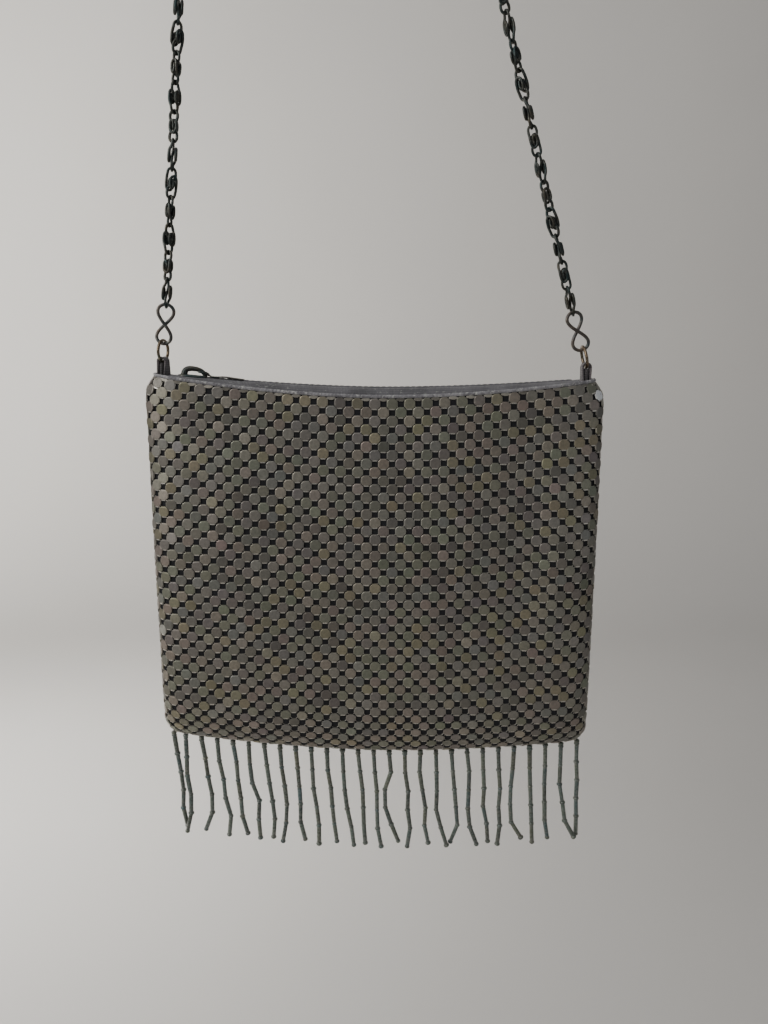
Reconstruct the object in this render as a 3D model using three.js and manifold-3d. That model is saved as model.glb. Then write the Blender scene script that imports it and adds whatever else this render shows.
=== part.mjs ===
// Metal mesh evening purse with a beaded fringe, hanging from its chain strap.
// Millimetres, +Z up, front towards -Y. The origin is the inside of the strap loop at its top, where
// a hook carries it.
import * as THREE from 'three';
import * as BufferGeometryUtils from 'three/addons/utils/BufferGeometryUtils.js';
import Module from 'manifold-3d';

// Clearance between neighbouring pieces
const pieceGap = 0.3;

// Pouch of metal mesh
const pouchWidth = 200;
const pouchHeight = 169;
const topSag = 8.6;
const bottomSag = 7.5;
const sagPower = 1.8;
const topSlant = 1.3;
const bottomSlant = 2.3;
const mouthHalfDepth = 7;
const bellyHalfDepth = 12.5;
const swellShare = 0.55;
const bottomRoll = 28;
const thinnestHalfDepth = 0.35;
const bottomCorner = 7;
const topCorner = 4.2;
const topCornerHeight = 10;
const sideFullness = 18;
const meshWall = 1.4;
const liningWall = 1.0;
const liningGap = 0.5;

// Zip along the mouth
const zipEndInset = 12.6;
const zipRidge = 4.8;
const zipEndDrop = 2.4;
const coilRadius = 1.1;
const coilEndInset = 1.5;
const tapeThickness = 0.9;
const tapeFootThickness = 1.0;
const tapeFootInset = 0.5;
const pipingRadius = 0.55;
const pipingSink = 0.2;

// Zip slider and its pull
const sliderFromZipEnd = 2.8;
const sliderPlate = 0.6;
const sliderHalfWidth = 3.3;
const sliderFlange = 0.8;
const sliderFlangeDrop = 1.1;
const bridgeLength = 11.4;
const bridgeHeight = 2.9;
const bridgeHalfWidth = 0.9;
const bridgeFoot = 2.5;
const bridgeCrown = 2.2;
const bridgeSunk = 0.3;
const pivotFromEnd = 3.4;
const pullThickness = 0.8;
const pullLength = 20;
const pullHalfWidth = 2.6;
const pullNeckHalfWidth = 1.6;
const pullEyeRail = 1.0;
const pullTaper = 1.4;

// Ribbon tabs, rings and wire links at the two corners
const tabInset = 8;
const tabWidth = 6;
const tabFoldHalfWidth = 1.6;
const tabThickness = 0.9;
const tabHeight = 8.2;
const tabFootSpread = 1.1;
const ringWire = 0.65;
const ringRadius = 4.5;
const eightWire = 0.55;
const eightHeight = 16.7;
const eightWidth = 6.4;
const eightPassGap = 0.2;

// Chain strap
const strapDrop = 448.5;
const hangFromMiddle = 39.6;
const hookRadius = 7;
const linkPitch = 11;
const linkHalfWidth = 2.25;
const linkHalfThickness = 1.9;
const linkNeck = 0.8;
const linkShoulder = 0.27;
const linkTurn = 75;

// Beaded fringe
const strandCount = 27;
const fringeInset = 3.2;
const firstStrandSpace = 5.5;
const buglePitch = 9.9;
const bugleLength = 8.4;
const bugleRadius = 1.1;
const seedWaist = 0.7;
const strandTop = 2.6;
const tipSway = 1.3;

// Steps of the curved surfaces
const wallRows = [
  0.9995, 0.993, 0.98, 0.962, 0.93, 0.89, 0.84, 0.74, 0.6, 0.45, 0.3, 0.15, 0.06, 0.035, 0.015, 0,
];
const faceShare = 0.8;
const faceSteps = 12;
const sideSteps = 8;
const zipSteps = 18;
const wireSides = 6;
const ringSteps = 20;
const eightSteps = 40;
const foldBends = 6;
const beadSides = 5;

// Soft folds of the pouch: middle as a share of the half width, lean of the fold from top to bottom
// as a share, share of the height where it is deepest, half width as a share, and depth as a share of
// the belly's half depth. The first five are on the front, the rest on the back.
const folds = [
  { side: -1, across: -0.62, lean: 0.10, deepest: 0.45, spread: 0.13, depth: 0.07 },
  { side: -1, across: -0.18, lean: 0.05, deepest: 0.70, spread: 0.16, depth: -0.05 },
  { side: -1, across: 0.30, lean: -0.04, deepest: 0.35, spread: 0.15, depth: 0.06 },
  { side: -1, across: 0.66, lean: -0.06, deepest: 0.60, spread: 0.10, depth: -0.06 },
  { side: -1, across: 0.84, lean: 0.03, deepest: 0.50, spread: 0.08, depth: 0.09 },
  { side: 1, across: -0.50, lean: 0.06, deepest: 0.55, spread: 0.14, depth: 0.07 },
  { side: 1, across: 0.12, lean: -0.05, deepest: 0.40, spread: 0.16, depth: -0.05 },
  { side: 1, across: 0.58, lean: 0.04, deepest: 0.65, spread: 0.12, depth: 0.07 },
];
const foldHeight = 0.38;
const foldFade = 0.12;

// How far each of a strand's five long beads drifts sideways over its length, as a share of the space
// between two strands, from the left strand to the right one. The beads hang kinked on stiff thread.
const strandDrift = [
  { one: 0.13, two: 0.15, three: 0.09, four: -0.09, five: 0.21 },
  { one: 0, two: -0.03, three: 0.19, four: -0.04, five: -0.3 },
  { one: 0.17, two: 0.11, three: 0.19, four: -0.04, five: -0.46 },
  { one: 0.07, two: 0.24, three: 0.08, four: 0.31, five: -0.15 },
  { one: 0.16, two: 0.05, three: 0.13, four: 0.05, five: 0.31 },
  { one: 0.03, two: 0.12, three: 0.43, four: -0.08, five: 0.08 },
  { one: 0.11, two: 0.13, three: 0.16, four: 0.11, five: -0.12 },
  { one: 0.07, two: 0.17, three: 0.12, four: -0.08, five: -0.23 },
  { one: 0.09, two: 0.08, three: 0.05, four: -0.03, five: 0.28 },
  { one: 0.05, two: 0.05, three: 0.19, four: 0.13, five: -0.01 },
  { one: 0.03, two: 0.19, three: 0.07, four: 0.11, five: 0.16 },
  { one: 0.04, two: 0.08, three: 0.15, four: 0.26, five: 0.16 },
  { one: 0.12, two: 0.15, three: 0.04, four: 0.03, five: 0.09 },
  { one: 0.08, two: 0.12, three: 0.01, four: 0.04, five: 0.23 },
  { one: 0.11, two: -0.39, three: 0.03, four: 0.39, five: 0.46 },
  { one: 0.03, two: 0.2, three: -0.03, four: 0.17, five: -0.19 },
  { one: -0.04, two: 0.2, three: 0.21, four: -0.05, five: 0.26 },
  { one: 0.05, two: 0.04, three: -0.03, four: 0.32, five: 0.38 },
  { one: 0.11, two: 0.13, three: 0.12, four: 0.12, five: -0.44 },
  { one: 0.16, two: -0.01, three: -0.03, four: 0.15, five: 0.46 },
  { one: 0.07, two: 0.09, three: -0.03, four: 0.27, five: 0.11 },
  { one: 0.07, two: 0.11, three: -0.07, four: 0.11, five: -0.13 },
  { one: -0.03, two: -0.08, three: 0.01, four: 0.11, five: 0.67 },
  { one: 0.05, two: 0.07, three: 0.09, four: 0.08, five: 0.07 },
  { one: 0.05, two: 0.01, three: 0.07, four: 0.07, five: 0.23 },
  { one: 0.01, two: 0, three: 0.24, four: 0.2, five: 0.63 },
  { one: 0.05, two: 0.11, three: 0.01, four: 0.08, five: 0.04 },
];

// How each corner's hardware is turned about the upright and leans towards the other side, in degrees
const corners = {
  left: { side: -1, tabTurn: 78, ringLean: 3, eightLean: 8 },
  right: { side: 1, tabTurn: 91, ringLean: 13, eightLean: 17.5 },
};

// Places worked out from the sizes above
const pouchMiddle = new THREE.Vector3(hangFromMiddle, 0, -strapDrop);
const halfWidth = pouchWidth / 2;
const liningInset = meshWall + liningGap;
const zipHalfLength = halfWidth - zipEndInset;
const sliderFromMiddle = zipHalfLength - sliderFromZipEnd;
const tabFromMiddle = halfWidth - tabInset;
const mouthHalfWidth = halfWidth - topCorner;
const strandSpace = (pouchWidth - 2 * fringeInset - firstStrandSpace) / (strandCount - 2);
const degree = Math.PI / 180;

// Materials
const finish = (colour, roughness, metalness) => new THREE.MeshStandardMaterial({
  color: colour,
  roughness,
  metalness,
});
const agedMesh = finish(0x7d7466, 0.42, 0.85);
const darkLining = finish(0x14151c, 0.9, 0);
const greyTape = finish(0x6f6a72, 0.75, 0);
const palePiping = finish(0x9b95a0, 0.6, 0);
const gunmetal = finish(0x3a4042, 0.35, 0.9);
const agedBrass = finish(0x8a7048, 0.35, 0.9);
const greyRibbon = finish(0x6a6668, 0.7, 0);
const darkGlass = finish(0x46564d, 0.15, 0.1);

const purse = new THREE.Group();

function addPiece(name, geometry, material, parent = purse) {
  const mesh = new THREE.Mesh(geometry, material);
  mesh.name = name;
  parent.add(mesh);
  return mesh;
}

// A closed solid through rings of points, each ring with the same number of points. A loop joins its
// last ring to its first, and any other solid ends in flat or gently curved zigzag caps.
function solidThroughRings(rings, looped = false) {
  const count = rings[0].length;
  const positions = rings.flat().flatMap((point) => [point.x, point.y, point.z]);
  const faces = [];
  const lastRing = looped ? rings.length : rings.length - 1;
  for (let ring = 0; ring < lastRing; ring += 1) {
    const here = ring * count;
    const next = ((ring + 1) % rings.length) * count;
    for (let index = 0; index < count; index += 1) {
      const beside = (index + 1) % count;
      faces.push([here + index, here + beside, next + beside]);
      faces.push([here + index, next + beside, next + index]);
    }
  }
  if (!looped) {
    const endCap = (start, turned) => {
      for (let index = 0; index < count / 2; index += 1) {
        const mirror = (count - index) % count;
        const pair = [
          [index, index + 1, mirror],
          [index + 1, count - index - 1, mirror],
        ];
        for (const corner of pair) {
          if (new Set(corner).size === 3) {
            const face = corner.map((value) => start + value);
            faces.push(turned ? face.reverse() : face);
          }
        }
      }
    };
    endCap(0, true);
    endCap((rings.length - 1) * count, false);
  }
  const geometry = new THREE.BufferGeometry();
  geometry.setAttribute('position', new THREE.Float32BufferAttribute(positions, 3));
  const outward = enclosedVolume(positions, faces) > 0;
  geometry.setIndex((outward ? faces : faces.map((face) => [face[0], face[2], face[1]])).flat());
  geometry.computeVertexNormals();
  return geometry;
}

function enclosedVolume(positions, faces) {
  const corner = (index) => new THREE.Vector3().fromArray(positions, index * 3);
  let sixVolumes = 0;
  for (const face of faces) {
    const [first, second, third] = face.map(corner);
    sixVolumes += first.dot(second.cross(third));
  }
  return sixVolumes / 6;
}

const smoothBump = (distance, spread) => Math.exp(-((distance / spread) ** 2));

// How far a level row of the mesh hangs below the corners' level: it sags in the middle, and slants
// down to the right because the left end of the strap is drawn up higher
function sagAt(x, down) {
  const across = x / halfWidth;
  const sag = THREE.MathUtils.lerp(topSag, bottomSag, down) * (1 - Math.abs(across) ** sagPower);
  return sag + THREE.MathUtils.lerp(topSlant, bottomSlant, down) * across;
}

// Height of the mouth's edge
const mouthHeight = (x) => -sagAt(x, 0);

// Half width of the pouch at a share of the way down, drawn in at its top corners and rounded at its
// bottom corners
function halfWidthAt(down) {
  const over = Math.max(0, 1 - down * pouchHeight / topCornerHeight);
  const into = Math.max(0, (down - 1) * pouchHeight / bottomCorner + 1);
  const rounding = bottomCorner * (1 - Math.sqrt(1 - Math.min(1, into) ** 2));
  return halfWidth - topCorner * over ** 2 - rounding;
}

// Half depth of the pouch in its middle at a share of the way down: it swells from the mouth to the
// belly and rolls shut over the last stretch
function halfDepthAt(down) {
  const swell = THREE.MathUtils.smoothstep(down, 0, swellShare);
  const into = Math.max(0, (down - 1) * pouchHeight / bottomRoll + 1);
  const roll = Math.sqrt(1 - Math.min(1, into) ** 2);
  return THREE.MathUtils.lerp(mouthHalfDepth, bellyHalfDepth, swell) * roll;
}

function foldDepth(side, across, down) {
  let depth = 0;
  for (const fold of folds) {
    if (fold.side === side) {
      const middle = fold.across + fold.lean * (down - fold.deepest);
      const along = smoothBump(down - fold.deepest, foldHeight) * Math.min(1, (1 - down) / foldFade);
      depth += fold.depth * bellyHalfDepth * smoothBump(across - middle, fold.spread) * along;
    }
  }
  return depth;
}

// Shares of the way round one section: the flat face has even steps across, and the round side has
// even steps in angle. A section has y = b * sin(angle) and x = a * |cos(angle)| ^ (2 / fullness).
const sideAngle = Math.acos(faceShare ** (sideFullness / 2));
const frontAngles = [];
for (let step = sideSteps / 2; step > 0; step -= 1) {
  frontAngles.push({ across: -1, angle: sideAngle * (1 - step / (sideSteps / 2)) });
}
for (let step = 0; step <= faceSteps; step += 1) {
  const across = THREE.MathUtils.lerp(-faceShare, faceShare, step / faceSteps);
  const angle = Math.acos(Math.abs(across) ** (sideFullness / 2));
  frontAngles.push({ across: Math.sign(across) || 1, angle });
}
for (let step = 1; step < sideSteps / 2; step += 1) {
  frontAngles.push({ across: 1, angle: sideAngle * (1 - step / (sideSteps / 2)) });
}
const backAngles = [...frontAngles.slice(1), { across: 1, angle: 0 }].reverse();

// One level section of the pouch, set in from its outer surface by the given distance
function pouchSection(down, inset) {
  const wide = halfWidthAt(down) - inset;
  const deep = Math.max(halfDepthAt(down) - inset, thinnestHalfDepth);
  const place = (side) => ({ across, angle }) => {
    const share = across * Math.cos(angle) ** (2 / sideFullness);
    const x = wide * share;
    const y = side * (deep * Math.sin(angle) + foldDepth(side, share, down) * Math.sin(angle));
    const z = -sagAt(x, down) - down * pouchHeight;
    return new THREE.Vector3(x, y, z);
  };
  return [...frontAngles.map(place(-1)), ...backAngles.map(place(1))];
}

// A pouch wall between two insets, open at the mouth
function pouchShell(outerInset, innerInset) {
  const sections = (inset) => wallRows.map(
    (down) => pouchSection(down * (1 - inset / pouchHeight), inset),
  );
  return solidThroughRings([...sections(outerInset), ...sections(innerInset).reverse()]);
}

const body = new THREE.Group();
body.position.copy(pouchMiddle);
purse.add(body);

addPiece('mesh_body', pouchShell(0, meshWall), agedMesh, body);
addPiece('lining', pouchShell(liningInset, liningInset + liningWall), darkLining, body);

// Half depth of the mouth at a distance from the middle
const mouthDepthAt = (x) => mouthHalfDepth * Math.sqrt(1 - Math.abs(x / mouthHalfWidth) ** sideFullness);

// A strip along the mouth, as far to either side of the middle: a section in y and z for each place
function alongMouth(reach, sectionAt) {
  const rings = [];
  for (let step = 0; step <= zipSteps; step += 1) {
    const x = THREE.MathUtils.lerp(-reach, reach, step / zipSteps);
    rings.push(sectionAt(x).map(([y, z]) => new THREE.Vector3(x, y, z + mouthHeight(x))));
  }
  return solidThroughRings(rings);
}

function roundSection(y, z, radius) {
  const points = [];
  for (let side = 0; side < wireSides; side += 1) {
    const angle = 2 * Math.PI * side / wireSides;
    points.push([y + radius * Math.cos(angle), z + radius * Math.sin(angle)]);
  }
  return points;
}

// Height of the zip's ridge above the mouth's edge: it sinks towards both ends
const ridgeAt = (x) => zipRidge - zipEndDrop * (x / zipHalfLength) ** 2;
const coilHeightAt = (x) => ridgeAt(x) - coilRadius;
const seamHeight = pieceGap;
const tapeSection = (side) => (x) => {
  const foot = mouthDepthAt(x) - tapeFootInset;
  const head = coilRadius + pieceGap;
  return [
    [side * foot, seamHeight],
    [side * head, coilHeightAt(x) + tapeThickness / 2],
    [side * head, coilHeightAt(x) - tapeThickness / 2],
    [side * (foot - tapeFootThickness), seamHeight],
  ];
};
const pipingFromTape = tapeFootInset + pipingRadius - pipingSink;
const pipingSection = (side) => (x) => roundSection(
  side * (mouthDepthAt(x) - tapeFootInset + pipingFromTape),
  seamHeight + pipingRadius,
  pipingRadius,
);
for (const [name, side] of [['front', -1], ['back', 1]]) {
  addPiece(`zip_tape_${name}`, alongMouth(zipHalfLength, tapeSection(side)), greyTape, body);
  addPiece(`piping_${name}`, alongMouth(zipHalfLength, pipingSection(side)), palePiping, body);
}
addPiece(
  'zip_coil',
  alongMouth(zipHalfLength - coilEndInset, (x) => roundSection(0, coilHeightAt(x), coilRadius)),
  gunmetal,
  body,
);

// Booleans
const wasm = await Module();
wasm.setup();

function toManifold(geometry) {
  const source = geometry.clone();
  source.deleteAttribute('normal');
  source.deleteAttribute('uv');
  const merged = BufferGeometryUtils.mergeVertices(source, 1e-4);
  return new wasm.Manifold(new wasm.Mesh({
    numProp: 3,
    vertProperties: new Float32Array(merged.attributes.position.array),
    triVerts: new Uint32Array(merged.index.array),
  }));
}

function toGeometry(manifold) {
  const result = manifold.getMesh();
  const geometry = new THREE.BufferGeometry();
  geometry.setAttribute('position', new THREE.Float32BufferAttribute(result.vertProperties, 3));
  geometry.setIndex([...result.triVerts]);
  geometry.computeVertexNormals();
  return geometry;
}

// An outline in x and z, given its depth along y and centred on y = 0
function uprightPlate(outline, halfDepth) {
  const geometry = new THREE.ExtrudeGeometry(outline, {
    depth: 2 * halfDepth,
    bevelEnabled: false,
    curveSegments: 5,
  });
  geometry.rotateX(Math.PI / 2);
  geometry.translate(0, halfDepth, 0);
  return geometry;
}

// Zip slider: a saddle astride the coil with the bridge that holds the pull. Its own x runs along the
// zip from the bridge's left foot, and its own z starts at the saddle's top face.
const sliderX = -sliderFromMiddle;
const bridgeMiddleX = sliderX + bridgeLength / 2;
const ridgeLine = (x) => mouthHeight(x) + ridgeAt(x);
const saddleTop = ridgeLine(bridgeMiddleX) + pieceGap + sliderPlate;
const slopeSpan = bridgeLength / 2;
const slopeRise = ridgeLine(bridgeMiddleX + slopeSpan) - ridgeLine(bridgeMiddleX - slopeSpan);
const zipSlope = Math.atan2(slopeRise, 2 * slopeSpan);

const slider = new THREE.Group();
slider.position.set(bridgeMiddleX, 0, saddleTop);
slider.rotation.y = -zipSlope;
body.add(slider);

function saddleGeometry() {
  const section = new THREE.Shape();
  const inner = sliderHalfWidth - sliderFlange;
  section.moveTo(-sliderHalfWidth, 0);
  section.lineTo(-sliderHalfWidth, -sliderPlate - sliderFlangeDrop);
  section.lineTo(-inner, -sliderPlate - sliderFlangeDrop);
  section.lineTo(-inner, -sliderPlate);
  section.lineTo(inner, -sliderPlate);
  section.lineTo(inner, -sliderPlate - sliderFlangeDrop);
  section.lineTo(sliderHalfWidth, -sliderPlate - sliderFlangeDrop);
  section.lineTo(sliderHalfWidth, 0);
  const geometry = new THREE.ExtrudeGeometry(section, { depth: bridgeLength, bevelEnabled: false });
  geometry.rotateX(Math.PI / 2);
  geometry.rotateZ(Math.PI / 2);
  geometry.translate(-bridgeLength / 2, 0, 0);
  return geometry;
}

// The pull's bar turns under the bridge with the piece gap all round its corners
const barReach = pullThickness * Math.SQRT1_2;
const pivotHeight = pieceGap + barReach;
const bridgeUnderside = pivotHeight + barReach + pieceGap;
const pivotX = bridgeLength / 2 - pivotFromEnd;
const footInner = pivotX + barReach + pieceGap;

// The bridge seen from the front: a steep left foot, a flat crown, and a long slope down to the right
function bridgeGeometry() {
  const outline = new THREE.Shape();
  const left = -bridgeLength / 2;
  const right = bridgeLength / 2;
  outline.moveTo(left, -bridgeSunk);
  outline.lineTo(left, bridgeHeight / 2);
  outline.quadraticCurveTo(left, bridgeHeight, left + bridgeFoot, bridgeHeight);
  outline.lineTo(left + bridgeFoot + bridgeCrown, bridgeHeight);
  outline.quadraticCurveTo(right, bridgeHeight, right, -bridgeSunk);
  outline.lineTo(footInner, -bridgeSunk);
  outline.lineTo(footInner, bridgeUnderside);
  outline.lineTo(left + bridgeFoot, bridgeUnderside);
  outline.lineTo(left + bridgeFoot, -bridgeSunk);
  return uprightPlate(outline, bridgeHalfWidth);
}

addPiece(
  'zip_slider',
  toGeometry(toManifold(saddleGeometry()).add(toManifold(bridgeGeometry()))),
  gunmetal,
  slider,
);

// Zip pull: a flat leaf whose eye holds the bridge. Its bar lies under the bridge on the hinge axis,
// and its free end rests just above the coil.
function pullGeometry() {
  const holeHalfWidth = bridgeHalfWidth + pieceGap;
  const eyeHalfWidth = holeHalfWidth + pullEyeRail;
  const bar = pullThickness / 2;
  const holeEnd = pivotFromEnd + pieceGap;
  const neck = holeEnd + pullEyeRail;
  const outline = new THREE.Shape();
  outline.moveTo(-bar, -eyeHalfWidth);
  outline.lineTo(neck, -eyeHalfWidth);
  outline.lineTo(neck + pullTaper, -pullNeckHalfWidth);
  outline.lineTo(pullLength - pullHalfWidth, -pullHalfWidth);
  outline.absarc(pullLength - pullHalfWidth, 0, pullHalfWidth, -Math.PI / 2, Math.PI / 2, false);
  outline.lineTo(neck + pullTaper, pullNeckHalfWidth);
  outline.lineTo(neck, eyeHalfWidth);
  outline.lineTo(-bar, eyeHalfWidth);
  const eye = new THREE.Path();
  eye.moveTo(bar, -holeHalfWidth);
  eye.lineTo(bar, holeHalfWidth);
  eye.lineTo(holeEnd, holeHalfWidth);
  eye.lineTo(holeEnd, -holeHalfWidth);
  outline.holes.push(eye);
  const geometry = new THREE.ExtrudeGeometry(outline, {
    depth: pullThickness,
    bevelEnabled: false,
    curveSegments: 8,
  });
  geometry.translate(0, 0, -pullThickness / 2);
  return geometry;
}

slider.updateWorldMatrix(true, false);
const pivot = body.worldToLocal(slider.localToWorld(new THREE.Vector3(pivotX, 0, pivotHeight)));
const restX = pivot.x + pullLength - pullHalfWidth;
const restHeight = ridgeLine(restX) + pieceGap + pullThickness / 2;
const pull = addPiece('zip_pull', pullGeometry(), gunmetal, body);
pull.position.copy(pivot);
pull.rotation.y = -Math.atan2(restHeight - pivot.z, restX - pivot.x);

// Ribbon tab folded over the ring: two legs that spread from the fold to the mouth's edge, gathered
// to a narrow fold that lies inside the ring's curve
const ringRise = ringRadius - Math.sqrt(ringRadius ** 2 - tabFoldHalfWidth ** 2);
const foldInner = ringWire + pieceGap + ringRise;
const foldMiddle = tabHeight - tabThickness - foldInner;

function tabGeometry() {
  const foldRadius = foldInner + tabThickness / 2;
  const footRadius = tabFootSpread + tabThickness / 2;
  const stations = [];
  const leg = (side, climb) => stations.push({
    y: side * THREE.MathUtils.lerp(footRadius, foldRadius, climb),
    z: foldMiddle * climb,
    ny: side,
    nz: 0,
    climb,
  });
  leg(-1, 0);
  leg(-1, 0.5);
  leg(-1, 1);
  for (let bend = 1; bend < foldBends; bend += 1) {
    const angle = Math.PI * (1 - bend / foldBends);
    const ny = Math.cos(angle);
    const nz = Math.sin(angle);
    stations.push({ y: foldRadius * ny, z: foldMiddle + foldRadius * nz, ny, nz, climb: 1 });
  }
  leg(1, 1);
  leg(1, 0.5);
  leg(1, 0);
  return solidThroughRings(stations.map(({ y, z, ny, nz, climb }) => {
    const half = THREE.MathUtils.lerp(tabWidth / 2, tabFoldHalfWidth, climb);
    const thick = tabThickness / 2;
    return [[-half, thick], [half, thick], [half, -thick], [-half, -thick]].map(
      ([x, out]) => new THREE.Vector3(x, y + out * ny, z + out * nz),
    );
  }));
}

// A wire figure eight: two lobes, with the wire passing itself at the waist
class FigureEight extends THREE.Curve {
  getPoint(share, target = new THREE.Vector3()) {
    const angle = 2 * Math.PI * share;
    return target.set(
      eightWidth / 2 * Math.sin(2 * angle),
      (eightWire + eightPassGap / 2) * Math.sin(angle),
      eightHeight / 2 * Math.cos(angle),
    );
  }
}

// Hardware at a corner, from the tab up. Each group's own origin is where it hangs on the one below.
function addCorner(name, { side, tabTurn, ringLean, eightLean }) {
  const tabReach = tabFootSpread + tabThickness + tabWidth / 4;
  const foot = mouthHeight(side * (tabFromMiddle + tabReach)) + pieceGap;
  const tab = addPiece(`tab_${name}`, tabGeometry(), greyRibbon, body);
  tab.position.set(side * tabFromMiddle, 0, foot);
  tab.rotation.z = -side * tabTurn * degree;

  const ringHolder = new THREE.Group();
  ringHolder.position.set(side * tabFromMiddle, 0, foot + foldMiddle);
  ringHolder.rotation.y = -side * ringLean * degree;
  body.add(ringHolder);
  const ring = addPiece(
    `jump_ring_${name}`,
    new THREE.TorusGeometry(ringRadius, ringWire, wireSides, ringSteps),
    agedBrass,
    ringHolder,
  );
  ring.position.z = ringRadius;
  ring.rotation.set(Math.PI / 2, -side * tabTurn * degree, 0, 'XYZ');

  ringHolder.updateWorldMatrix(true, true);
  const seatBelow = ringWire + pieceGap + eightWire;
  const seat = body.worldToLocal(ringHolder.localToWorld(new THREE.Vector3(0, 0, 2 * ringRadius)));
  const eightHolder = new THREE.Group();
  eightHolder.position.set(seat.x, 0, seat.z - seatBelow);
  eightHolder.rotation.y = -side * eightLean * degree;
  body.add(eightHolder);
  const eight = addPiece(
    `figure_eight_${name}`,
    new THREE.TubeGeometry(new FigureEight(), eightSteps, eightWire, wireSides, true),
    gunmetal,
    eightHolder,
  );
  eight.position.z = eightHeight / 2;
  eightHolder.updateWorldMatrix(true, true);
  return eightHolder.localToWorld(new THREE.Vector3(0, 0, eightHeight + eightWire + pieceGap));
}

body.updateWorldMatrix(true, true);
const leftStart = addCorner('left', corners.left);
const rightStart = addCorner('right', corners.right);

// The chain's route: straight up from the left corner, over the hook, and straight down to the right
const arcRadius = hookRadius + linkHalfWidth;
const arcMiddle = new THREE.Vector2(0, -hookRadius);

// Angle of the point where a straight run from a corner touches the arc, from +x towards +z
function touchAngle(start, side) {
  const dx = start.x - arcMiddle.x;
  const dz = start.z - arcMiddle.y;
  return Math.atan2(dz, dx) + side * Math.acos(arcRadius / Math.hypot(dx, dz));
}
const leftTouch = touchAngle(leftStart, -1) + 2 * Math.PI;
const rightTouch = touchAngle(rightStart, 1);
const onArc = (angle) => new THREE.Vector3(
  arcMiddle.x + arcRadius * Math.cos(angle),
  0,
  arcMiddle.y + arcRadius * Math.sin(angle),
);
const leftRun = leftStart.distanceTo(onArc(leftTouch));
const rightRun = rightStart.distanceTo(onArc(rightTouch));
const arcRun = arcRadius * (leftTouch - rightTouch);
const strapLength = leftRun + arcRun + rightRun;
const linkCount = Math.round(strapLength / linkPitch);
const pitch = strapLength / linkCount;

function strapPoint(distance) {
  if (distance < leftRun) {
    return new THREE.Vector3().lerpVectors(leftStart, onArc(leftTouch), distance / leftRun);
  }
  if (distance < leftRun + arcRun) {
    return onArc(leftTouch - (distance - leftRun) / arcRadius);
  }
  const share = (distance - leftRun - arcRun) / rightRun;
  return new THREE.Vector3().lerpVectors(onArc(rightTouch), rightStart, share);
}

// One ring of the chain's solid: wide across the link and thin through it, turned from link to link
function chainRing(distance, wide, thin, turn) {
  const before = strapPoint(Math.max(0, distance - linkNeck));
  const after = strapPoint(Math.min(strapLength, distance + linkNeck));
  const ahead = after.sub(before).normalize();
  const across = new THREE.Vector3(ahead.z, 0, -ahead.x);
  const out = new THREE.Vector3(0, 1, 0);
  const middle = strapPoint(distance);
  const points = [];
  for (let side = 0; side < wireSides; side += 1) {
    const angle = 2 * Math.PI * side / wireSides;
    const local = angle - turn;
    const reach = 1 / Math.hypot(Math.cos(local) / wide, Math.sin(local) / thin);
    points.push(middle.clone()
      .addScaledVector(across, reach * Math.cos(angle))
      .addScaledVector(out, reach * Math.sin(angle)));
  }
  return points;
}

// A stretch of chain: each link is a flat body between two narrow necks, where the eyes hold
function chainStretch(first, last) {
  const rings = [];
  for (let link = first; link < last; link += 1) {
    const start = link * pitch;
    const turn = link * linkTurn * degree;
    const low = link === first && first > 0 ? pieceGap / 2 : 0;
    rings.push(chainRing(start + low, linkNeck, linkNeck, 0));
    for (const share of [linkShoulder, 1 - linkShoulder]) {
      rings.push(chainRing(start + share * pitch, linkHalfWidth, linkHalfThickness, turn));
    }
  }
  const high = last < linkCount ? pieceGap / 2 : 0;
  rings.push(chainRing(last * pitch - high, linkNeck, linkNeck, 0));
  return solidThroughRings(rings);
}

const topFirst = Math.floor(leftRun / pitch);
const topLast = Math.ceil((leftRun + arcRun) / pitch);
const leftHalf = Math.round(topFirst / 2);
const rightHalf = Math.round((topLast + linkCount) / 2);
addPiece('chain_left_lower', chainStretch(0, leftHalf), gunmetal);
addPiece('chain_left_upper', chainStretch(leftHalf, topFirst), gunmetal);
addPiece('chain_top', chainStretch(topFirst, topLast), gunmetal);
addPiece('chain_right_upper', chainStretch(topLast, rightHalf), gunmetal);
addPiece('chain_right_lower', chainStretch(rightHalf, linkCount), gunmetal);

// Height of the pouch's lowest edge at a distance from the middle
function bottomHeight(x) {
  const into = Math.max(0, Math.abs(x) - (halfWidth - bottomCorner)) / bottomCorner;
  const down = 1 - bottomCorner / pouchHeight * (1 - Math.sqrt(1 - into ** 2));
  return -sagAt(x, down) - down * pouchHeight;
}

// Distance of a strand from the middle: even steps from the right, with the first close to the second
function strandPlace(index) {
  const last = halfWidth - fringeInset;
  return index === 0 ? -last : last - strandSpace * (strandCount - 1 - index);
}

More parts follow.
